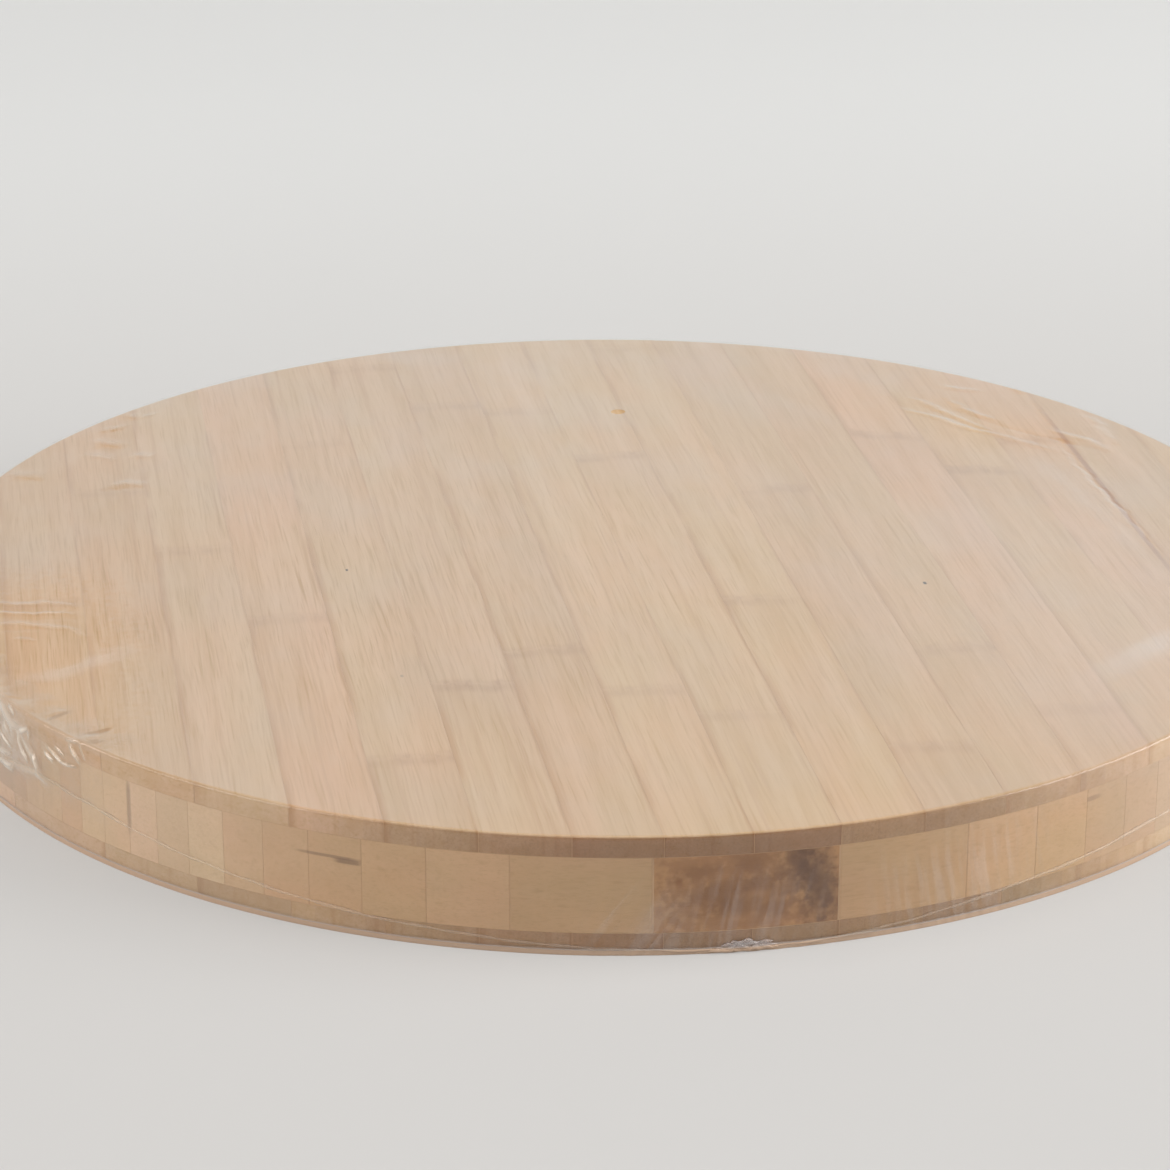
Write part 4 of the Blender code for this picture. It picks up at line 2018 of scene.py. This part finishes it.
# The film's folds over the top: at the right, at the left, at the back left, by the front left rim
FOLDS = (
    Fold(1.1, 0.3, 0.9, ((100, 96), (106, 89), (112, 79), (116, 74), (120, 71), (125, 64), (134, 54))),
    Fold(1.1, 0.28, 0.8, ((105, 105), (108, 98), (112, 90), (114, 83), (117, 78), (122, 72))),
    Fold(0.9, -0.1, -0.8, ((105, 98), (110, 90), (113, 82), (118, 75), (122, 68), (128, 61))),
    Fold(1.3, -0.1, -0.7, ((112, 97), (118, 86), (124, 77), (132, 67), (137, 63), (141, 58), (148, 50))),
    Fold(0.8, 0.12, 0.7, ((137, 66), (136, 47), (136.6, 25), (137.8, 1), (138, -25))),
    Fold(0.6, -0.05, -0.9, ((138.6, 97), (137.4, 64), (137.3, 47), (137.9, 25), (139.1, 1), (139.4, -30))),
    Fold(1.1, 0.3, 0.8, ((115, 101), (117, 94), (120, 88), (124, 81))),
    Fold(1.1, 0.2, 0.6, ((116, 113), (120, 109), (126, 108))),
    Fold(1.2, 0.0, -0.6, ((135, 108), (138, 101))),
    Fold(1.4, 0.25, 0.7, ((137, 73), (140, 66), (145, 60), (149, 51))),
    Fold(1.3, 0.0, -0.8, ((114, 104), (115, 98), (117, 90))),
    Fold(1.4, 0.25, 0.6, ((151, 81), (152, 74), (152, 65), (151, 57))),
    Fold(1.5, 0.0, -0.6, ((136, 66), (138, 60), (142, 58))),
    Fold(2.5, 0.0, 0.35, ((126, 54), (128, 40), (130, 25), (132, 0), (134, -34))),
    Fold(0.8, 0.25, 1.0, ((-163, -21), (-150, -23), (-140, -25))),
    Fold(1.5, -0.1, -1.0, ((-163, -24.5), (-150, -26), (-137, -29))),
    Fold(1.0, 0.0, -0.7, ((-155, -20), (-141, -22))),
    Fold(1.3, 0.2, 0.7, ((-163, -15), (-147, -16.5), (-137, -20))),
    Fold(1.3, 0.2, 0.7, ((-163, -30), (-153, -29), (-146, -32), (-141, -35), (-138, -41))),
    Fold(1.3, -0.1, -0.8, ((-160, -33), (-154, -33.5), (-147, -32))),
    Fold(1.0, 0.2, 0.6, ((-155, -39), (-150, -41))),
    Fold(3.4, 0.15, 0.9, ((-157, -64), (-148, -65.5), (-142, -61), (-136, -57), (-126, -49))),
    Fold(3.0, 0.0, -0.8, ((-164, -53), (-151, -56), (-139, -55))),
    Fold(4.0, 0.0, -0.8, ((-160, -71), (-147, -73), (-134, -72))),
    Fold(0.9, 0.2, 0.8, ((-118, 123), (-111, 123))),
    Fold(0.8, 0.0, -1.0, ((-127, 111), (-121, 112))),
    Fold(0.8, 0.2, 0.7, ((-127, 113), (-120, 114))),
    Fold(1.5, 0.0, -0.7, ((-122, 123), (-115, 119))),
    Fold(1.2, 0.2, 0.6, ((-120, 91), (-113, 88))),
    Fold(1.0, 0.25, 0.8, ((-126, 68), (-116, 66))),
    Fold(1.0, -0.1, -0.7, ((-129, 64), (-117, 64))),
    Fold(1.1, 0.2, 0.7, ((-154, 80), (-144, 78))),
    Fold(1.3, 0.0, -0.8, ((-153, 76), (-144, 74))),
    Fold(2.0, 0.0, -0.8, ((-130, 99), (-121, 97))),
    Fold(1.1, 0.2, 0.6, ((-131, 104), (-120, 99))),
    Fold(1.1, 0.2, 0.6, ((-133, 93), (-127, 90), (-125, 85))),
    Fold(1.0, -0.1, -1.5, ((-141, -99), (-137.6, -98), (-133, -95))),
    Fold(0.9, -0.1, -1.3, ((-140, -104), (-136, -101))),
    Fold(0.9, 0.0, -1.3, ((-150, -89), (-146, -86.4), (-142, -83))),
    Fold(0.9, 0.0, -1.2, ((-158, -74), (-153, -76))),
)

# The folds of the loose film over the rim at the left; their milky tone is painted highlight along the
# ridges, over the real glints of their relief
CRUMPLE_CREASES = (
    Fold(0.6, 0.7, 4.5, ((-62.3, 23.2), (-62.2, 20.4), (-61.8, 18.2), (-61.0, 16.2))),
    Fold(0.35, 0.4, 3.0, ((-65.6, 19.6), (-64.6, 18.0), (-63.5, 17.2))),
    Fold(0.5, 0.4, 3.5, ((-63.6, 28.4), (-62.8, 26.4))),
    Fold(0.5, 0.4, 3.0, ((-64.6, 23.0), (-63.9, 20.4))),
    Fold(1.6, 0.4, 1.8, ((-65.2, 28.4), (-64.1, 25.2), (-63.2, 23.8), (-61.9, 24.2), (-60.4, 24.4))),
    Fold(0.55, 0.4, 3.0, ((-62.0, 23.2), (-60.6, 25.5))),
    Fold(0.55, 0.5, 4.0, ((-60.1, 19.4), (-59.6, 15.8))),
    Fold(1.3, 0.45, 1.8, ((-62.2, 23.0), (-60.9, 20.3), (-59.9, 18.3), (-59.2, 15.0))),
    Fold(0.38, 0.55, 3.8, ((-58.3, 23.6), (-57.3, 22.3), (-56.4, 21.4), (-55.5, 21.4), (-54.3, 22.1))),
    Fold(0.5, 0.45, 5.0, ((-58.6, 21.6), (-57.3, 20.3))),
    Fold(0.35, 0.35, 3.2, ((-57.1, 24.5), (-55.9, 23.2))),
    Fold(0.55, 0.5, 3.0, ((-55.2, 27.2), (-54.6, 25.3), (-53.8, 23.2))),
    Fold(0.4, 0.45, 3.2, ((-53.9, 28.9), (-53.6, 26.7), (-53.2, 24.6))),
    Fold(0.45, 0.35, 2.6, ((-55.7, 27.8), (-54.0, 28.6))),
    Fold(0.35, 0.3, 2.6, ((-60.6, 25.0), (-60.8, 22.2))),
    Fold(1.1, 0.35, 1.5, ((-68.0, 11.0), (-64.6, 12.0), (-62.3, 13.2), (-60.0, 14.6), (-57.0, 14.4))),
    Fold(1.3, 0.1, -0.9, ((-59.0, 16.0), (-57.0, 15.8), (-55.1, 17.6))),
    Fold(1.2, 0.1, -0.9, ((-66.0, 21.0), (-64.8, 16.0))),
    Fold(1.6, 0.25, 0.9, ((-82.0, 28.6), (-70.0, 28.6), (-64.0, 28.4), (-61.0, 28.6))),
    Fold(0.6, 0.35, 2.2, ((-66.5, 26.5), (-65.6, 24.4), (-65.2, 22.0))),
    Fold(0.45, 0.35, 2.6, ((-66.8, 23.5), (-66.0, 21.5), (-65.8, 19.5))),
    Fold(0.7, 0.3, 1.6, ((-66.8, 14.5), (-65.0, 14.8), (-63.6, 15.6))),
    Fold(0.8, 0.2, 1.4, ((-66.6, 12.2), (-64.8, 11.6), (-63.0, 11.9))),
    Fold(0.7, 0.2, 1.2, ((-62.6, 11.4), (-61.2, 12.4), (-60.2, 12.2))),
    Fold(0.8, 0.1, -0.9, ((-65.8, 13.2), (-63.8, 13.4))),
)

# Where the weld seam bends: degrees round the rim, and millimetres over the floor
SEAM_STATIONS = (
    *((-180, 14), (-64, 14), (-60, 15.1), (-53, 13.9), (-44, 10.4), (-36, 7.7), (-27, 5.1)),
    *((-20.3, 3.8), (-15, 2.4), (-4, 0.9), (4, 0.9), (8, 1.5), (11.3, 2.3), (18, 4.5)),
    *((22.2, 5.8), (27.7, 7.0), (33, 8.6), (38, 9.5), (60, 13), (180, 14)),
)

OUTER_LEFT = ("left_07", "left_08", "left_09")
TOP_TONES = dict.fromkeys(OUTER_LEFT, Bamboo.TAWNY)

CORE_TONES = {
    "front_10": (tint(190, 144, 98),) * BUNDLE,
    "front_09": (tint(206, 170, 129), tint(208, 172, 132), tint(202, 166, 125)),
    "front_08": (tint(208, 174, 136), tint(206, 170, 131), tint(204, 168, 128)),
    "front_07": (tint(212, 182, 146), tint(209, 178, 142), tint(214, 185, 148)),
}

TOP_END_SHADES = {
    "left_06": (0.67, 0.60, 0.65, 1.0),
    "left_05": (0.62, 0.58, 0.55, 1.0),
    "left_03": (0.68, 0.57, 0.52, 1.0),
    "left_02": (0.61, 0.49, 0.43, 1.0),
    "left_01": (0.57, 0.46, 0.41, 1.0),
    "right_01": (0.58, 0.48, 0.45, 1.0),
    "right_04": (0.74, 0.67, 0.68, 1.0),
    "right_05": (0.53, 0.49, 0.50, 1.0),
}

# How dark the bottom ply's cut ends are; the darker ones toward the sides are painted shade, where the foot
# of the rim lies in the shade near the floor
BOTTOM_PLY_END_AND_PAINTED_SHADES = {
    "left_06": (0.34, 0.30, 0.32, 1.0),
    "left_05": (0.62, 0.55, 0.57, 1.0),
    "left_03": (0.73, 0.65, 0.64, 1.0),
    "left_02": (0.62, 0.51, 0.46, 1.0),
    "left_01": (0.65, 0.57, 0.54, 1.0),
    "right_03": (0.62, 0.58, 0.57, 1.0),
    "right_04": (0.52, 0.49, 0.49, 1.0),
    "right_05": (0.41, 0.39, 0.41, 1.0),
    "right_06": (0.41, 0.39, 0.41, 1.0),
}

TOP_KNUCKLES = {
    "left_07": (Knuckle(0.0650, 0.02, 0.45),),
    "left_06": (Knuckle(0.0160, 0.01, 0.45),),
    "left_05": (Knuckle(-0.0353, 0.0, 0.45),),
    "left_04": (Knuckle(-0.1243, 0.0, 0.55), Knuckle(0.0920, 0.0, 0.25)),
    "left_03": (Knuckle(-0.0929, -0.17, 0.85), Knuckle(0.1559, 0.0, 0.45)),
    "left_02": (Knuckle(-0.0650, 0.02, 0.60), Knuckle(0.1187, 0.0, 0.40)),
    "right_01": (Knuckle(0.0691, 0.0, 0.55), Knuckle(-0.1114, 0.0, 0.35)),
    "right_03": (Knuckle(0.0367, 0.0, 0.45), Knuckle(-0.1363, 0.0, 0.50)),
    "right_04": (Knuckle(-0.0798, 0.0, 0.50),),
    "right_05": (Knuckle(0.1063, -0.35, 0.70), Knuckle(-0.1200, 0.0, 0.35)),
    "right_06": (Knuckle(0.0698, -0.25, 0.75),),
}


def speck(x: float, y: float, size: float, strength: float = 1.0) -> Mark:
    """Make a dark speck on the top face, at a place and of a half size in millimetres."""
    area = Area((x * MM, y * MM, BOARD_TOP), (size * MM, size * 2.0 * MM, 1.0 * MM), ragged=0.2)
    return Mark(area, SOOT, strength)


def rim_area(angle: float, height: float, half_size: tuple[float, float, float], **edge: float) -> Area:
    """Make a patch of the wood's rim, at an angle in degrees and a height in millimetres."""
    return Area(tuple(rim_point(angle, height * MM, BOARD_RADIUS)), half_size, **edge)


def rim_mark(
    angle: float, height: float, width: float, tall: float, stain: Colour, strength: float, lean: float = 0.0
) -> Mark:
    """Make a stain on the rim.

    Args:
        angle: Its middle, in degrees from the front.
        height: Its middle's height over the floor, in millimetres.
        width: Its half width, in millimetres.
        tall: Its half height, in millimetres.
        stain: Its colour.
        strength: How far it covers the bamboo.
        lean: How far it leans to the right for each millimetre up.

    Returns:
        The mark.
    """
    half_size = (width * MM, width * MM * 2, tall * MM)
    narrow = min(width, tall) < 1
    worn, soft = (0.15, 0.4) if narrow else (1.5, 0.7)
    return Mark(rim_area(angle, height, half_size, lean=lean, ragged=worn, soft=soft), stain, strength)


def top_marks() -> dict[str, tuple[Mark, ...]]:
    """List the top ply's specks, its dark joint, and where the film clings near the rim.

    Returns:
        The marks, by the strip's side and number.
    """
    along_joint = Area((0.1388, 0.018, BOARD_TOP), (0.0007, 0.062, 0.002), turn=-0.6, ragged=0.4, soft=0.5)
    joint_edge = Mark(along_joint, tint(166, 118, 82), 0.8)
    stuck = (
        Area((-0.1374, -0.0978, BOARD_TOP), (0.0034, 0.0011, 0.002), turn=20, ragged=1.6),
        Area((-0.1383, -0.1030, BOARD_TOP), (0.0016, 0.0012, 0.002), turn=40, ragged=1.6),
        Area((-0.1462, -0.0867, BOARD_TOP), (0.0036, 0.0008, 0.002), turn=36, ragged=1.6),
    )
    golden = [Mark(area, tint(160, 118, 72), 0.6) for area in stuck]
    for angle in (-54.5, -61.5):
        corner = tuple(rim_point(angle, 28.1 * MM, BOARD_RADIUS - 0.2 * MM))
        bridged = Area(corner, (0.0012, 0.0125, 0.0011), turn=angle + 90, ragged=0.3, soft=0.6)
        golden.append(Mark(bridged, tint(202, 172, 142), 0.75))
    return {
        "left_04": (speck(-69.9, -4.8, 0.32), speck(-64.2, -75.8, 0.35, 0.35)),
        "right_04": (speck(73.9, -36.7, 0.42),),
        "right_07": (joint_edge,),
        "right_08": (joint_edge,),
        **dict.fromkeys(OUTER_LEFT, tuple(golden)),
    }


def bottom_painted_shade() -> dict[str, tuple[Mark, ...]]:
    """List the painted shade at the foot of the rim at the left: how far it is darker there.

    Returns:
        The marks, by the strip's side and number.
    """
    # Painted shade: the foot of the rim at the left is darkened where the shade near the floor falls
    shaded_low_left = rim_area(-44.0, 3.0, (0.060, 0.080, 0.006), ragged=0.1)
    shares = {"left_06": 0.42, "left_07": 0.27, "left_08": 0.18}
    return {key: (Mark(shaded_low_left, tint(150, 123, 92), share),) for key, share in shares.items()}


def core_marks() -> dict[str, tuple[Mark, ...]]:
    """List the core's rust-brown patch at the front, its dark lines and its duller side.

    Returns:
        The marks, by bundle.
    """
    burnt = rim_area(-0.6, 15.0, (0.017, 0.020, 0.010), ragged=2.6, soft=0.40)
    open_joint = rim_mark(-48.8, 17.3, 0.44, 6.0, tint(138, 110, 84), 0.5)
    dull = rim_area(37.0, 15.0, (0.020, 0.024, 0.015), ragged=0.3, soft=0.8)
    dull_right = Mark(dull, tint(155, 149, 136), 0.16)
    return {
        "front_10": (
            Mark(burnt, tint(140, 90, 54), 0.40),
            rim_mark(5.2, 15.4, 4.2, 9.0, UMBER, 0.70, -0.25),
            rim_mark(3.4, 19.0, 3.6, 5.0, UMBER, 0.36),
            rim_mark(-2.0, 14.5, 6.0, 2.6, RUST, 0.50, 0.8),
            rim_mark(-1.0, 11.0, 5.6, 1.8, RUST, 0.42, 1.5),
            rim_mark(0.2, 21.0, 3.2, 2.6, RUST, 0.45),
            rim_mark(1.2, 16.5, 3.6, 1.8, RUST, 0.42, 1.2),
            rim_mark(2.0, 10.0, 3.2, 1.8, RUST, 0.40),
            rim_mark(-5.0, 17.5, 1.0, 1.0, AMBER, 0.7),
            rim_mark(-3.6, 19.5, 4.0, 1.6, RUST, 0.40, 1.2),
        ),
        "front_08": (
            rim_mark(-30.8, 18.2, 6.0, 0.36, UMBER, 0.45),
            rim_mark(-29.3, 17.5, 2.6, 0.6, UMBER, 0.55),
            rim_mark(28.4, 21.0, 3.0, 0.6, UMBER, 0.3),
            dull_right,
        ),
        "front_07": (open_joint, dull_right),
        "front_06": (open_joint,),
    }


def skin_finish() -> FilmFinish:
    """Give the skin its clear and cloudy places, its pale streaks, and the painted reflection at the right.

    Returns:
        The finish.
    """
    painted_sheen_side = tuple(rim_point(44.0, 14.0 * MM, CAD_HIGH.x))
    hazy_left = tuple(rim_point(-50.0, 15.0 * MM, CAD_HIGH.x))
    return FilmFinish(
        clear=(
            (Area((-0.152, -0.056, BOARD_TOP), (0.024, 0.050, 0.003), ragged=0.9, soft=0.4), 0.50),
            (Area((0.118, 0.075, BOARD_TOP), (0.044, 0.014, 0.003), turn=-48, soft=0.6), 0.25),
        ),
        cloud_and_painted_sheen=(
            # Painted reflection: pale haze that whitens the film over the right of the top
            (Area((0.125, -0.060, BOARD_TOP), (0.060, 0.090, 0.006), ragged=0.5, soft=0.9), 0.08),
            (Area((0.112, -0.093, BOARD_TOP), (0.014, 0.004, 0.002), turn=40, soft=0.8), 0.07),
            (Area((0.124, -0.082, BOARD_TOP), (0.012, 0.003, 0.002), turn=38, soft=0.8), 0.06),
            # Painted reflection: pale haze that whitens the film over the right side of the rim
            (Area(painted_sheen_side, (0.035, 0.050, 0.020), ragged=0.3, soft=0.9), 0.05),
            (Area(hazy_left, (0.032, 0.040, 0.014), ragged=0.3, soft=0.9), 0.07),
        ),
        streaks=(
            Streaks(-8.0, 4.5, 1.0, 20, 0.10, lean=218),
            Streaks(17.0, 9.0, 0.5, 28, 0.10, lean=-50),
            Streaks(0.0, 6.5, 1.0, 24, 0.09, lean=60),
        ),
    )


def main() -> None:
    """Build the board's looks in order."""
    logging.basicConfig(level=logging.INFO, format="%(name)s: %(message)s")
    assemblies = (
        FacePly("top_strip", 3, TOP_KNUCKLES, top_marks(), TOP_TONES, TOP_END_SHADES),
        FacePly("bottom_strip", 8, marks=bottom_painted_shade(), end_shades=BOTTOM_PLY_END_AND_PAINTED_SHADES),
        CorePly(tones=CORE_TONES, marks=core_marks()),
        Glue(),
        ShrinkFilm(folds=FOLDS, finish=skin_finish()),
        WeldSeam(SEAM_STATIONS),
        GatheredEnd(),
        CrumpledFilm(CRUMPLE_CREASES),
        Studio(),
    )
    for assembly in assemblies:
        assembly.build()
        log.info("finished %s", type(assembly).__name__)
    bpy.context.scene.view_settings.view_transform = "Standard"


if __name__ == "__main__":
    main()
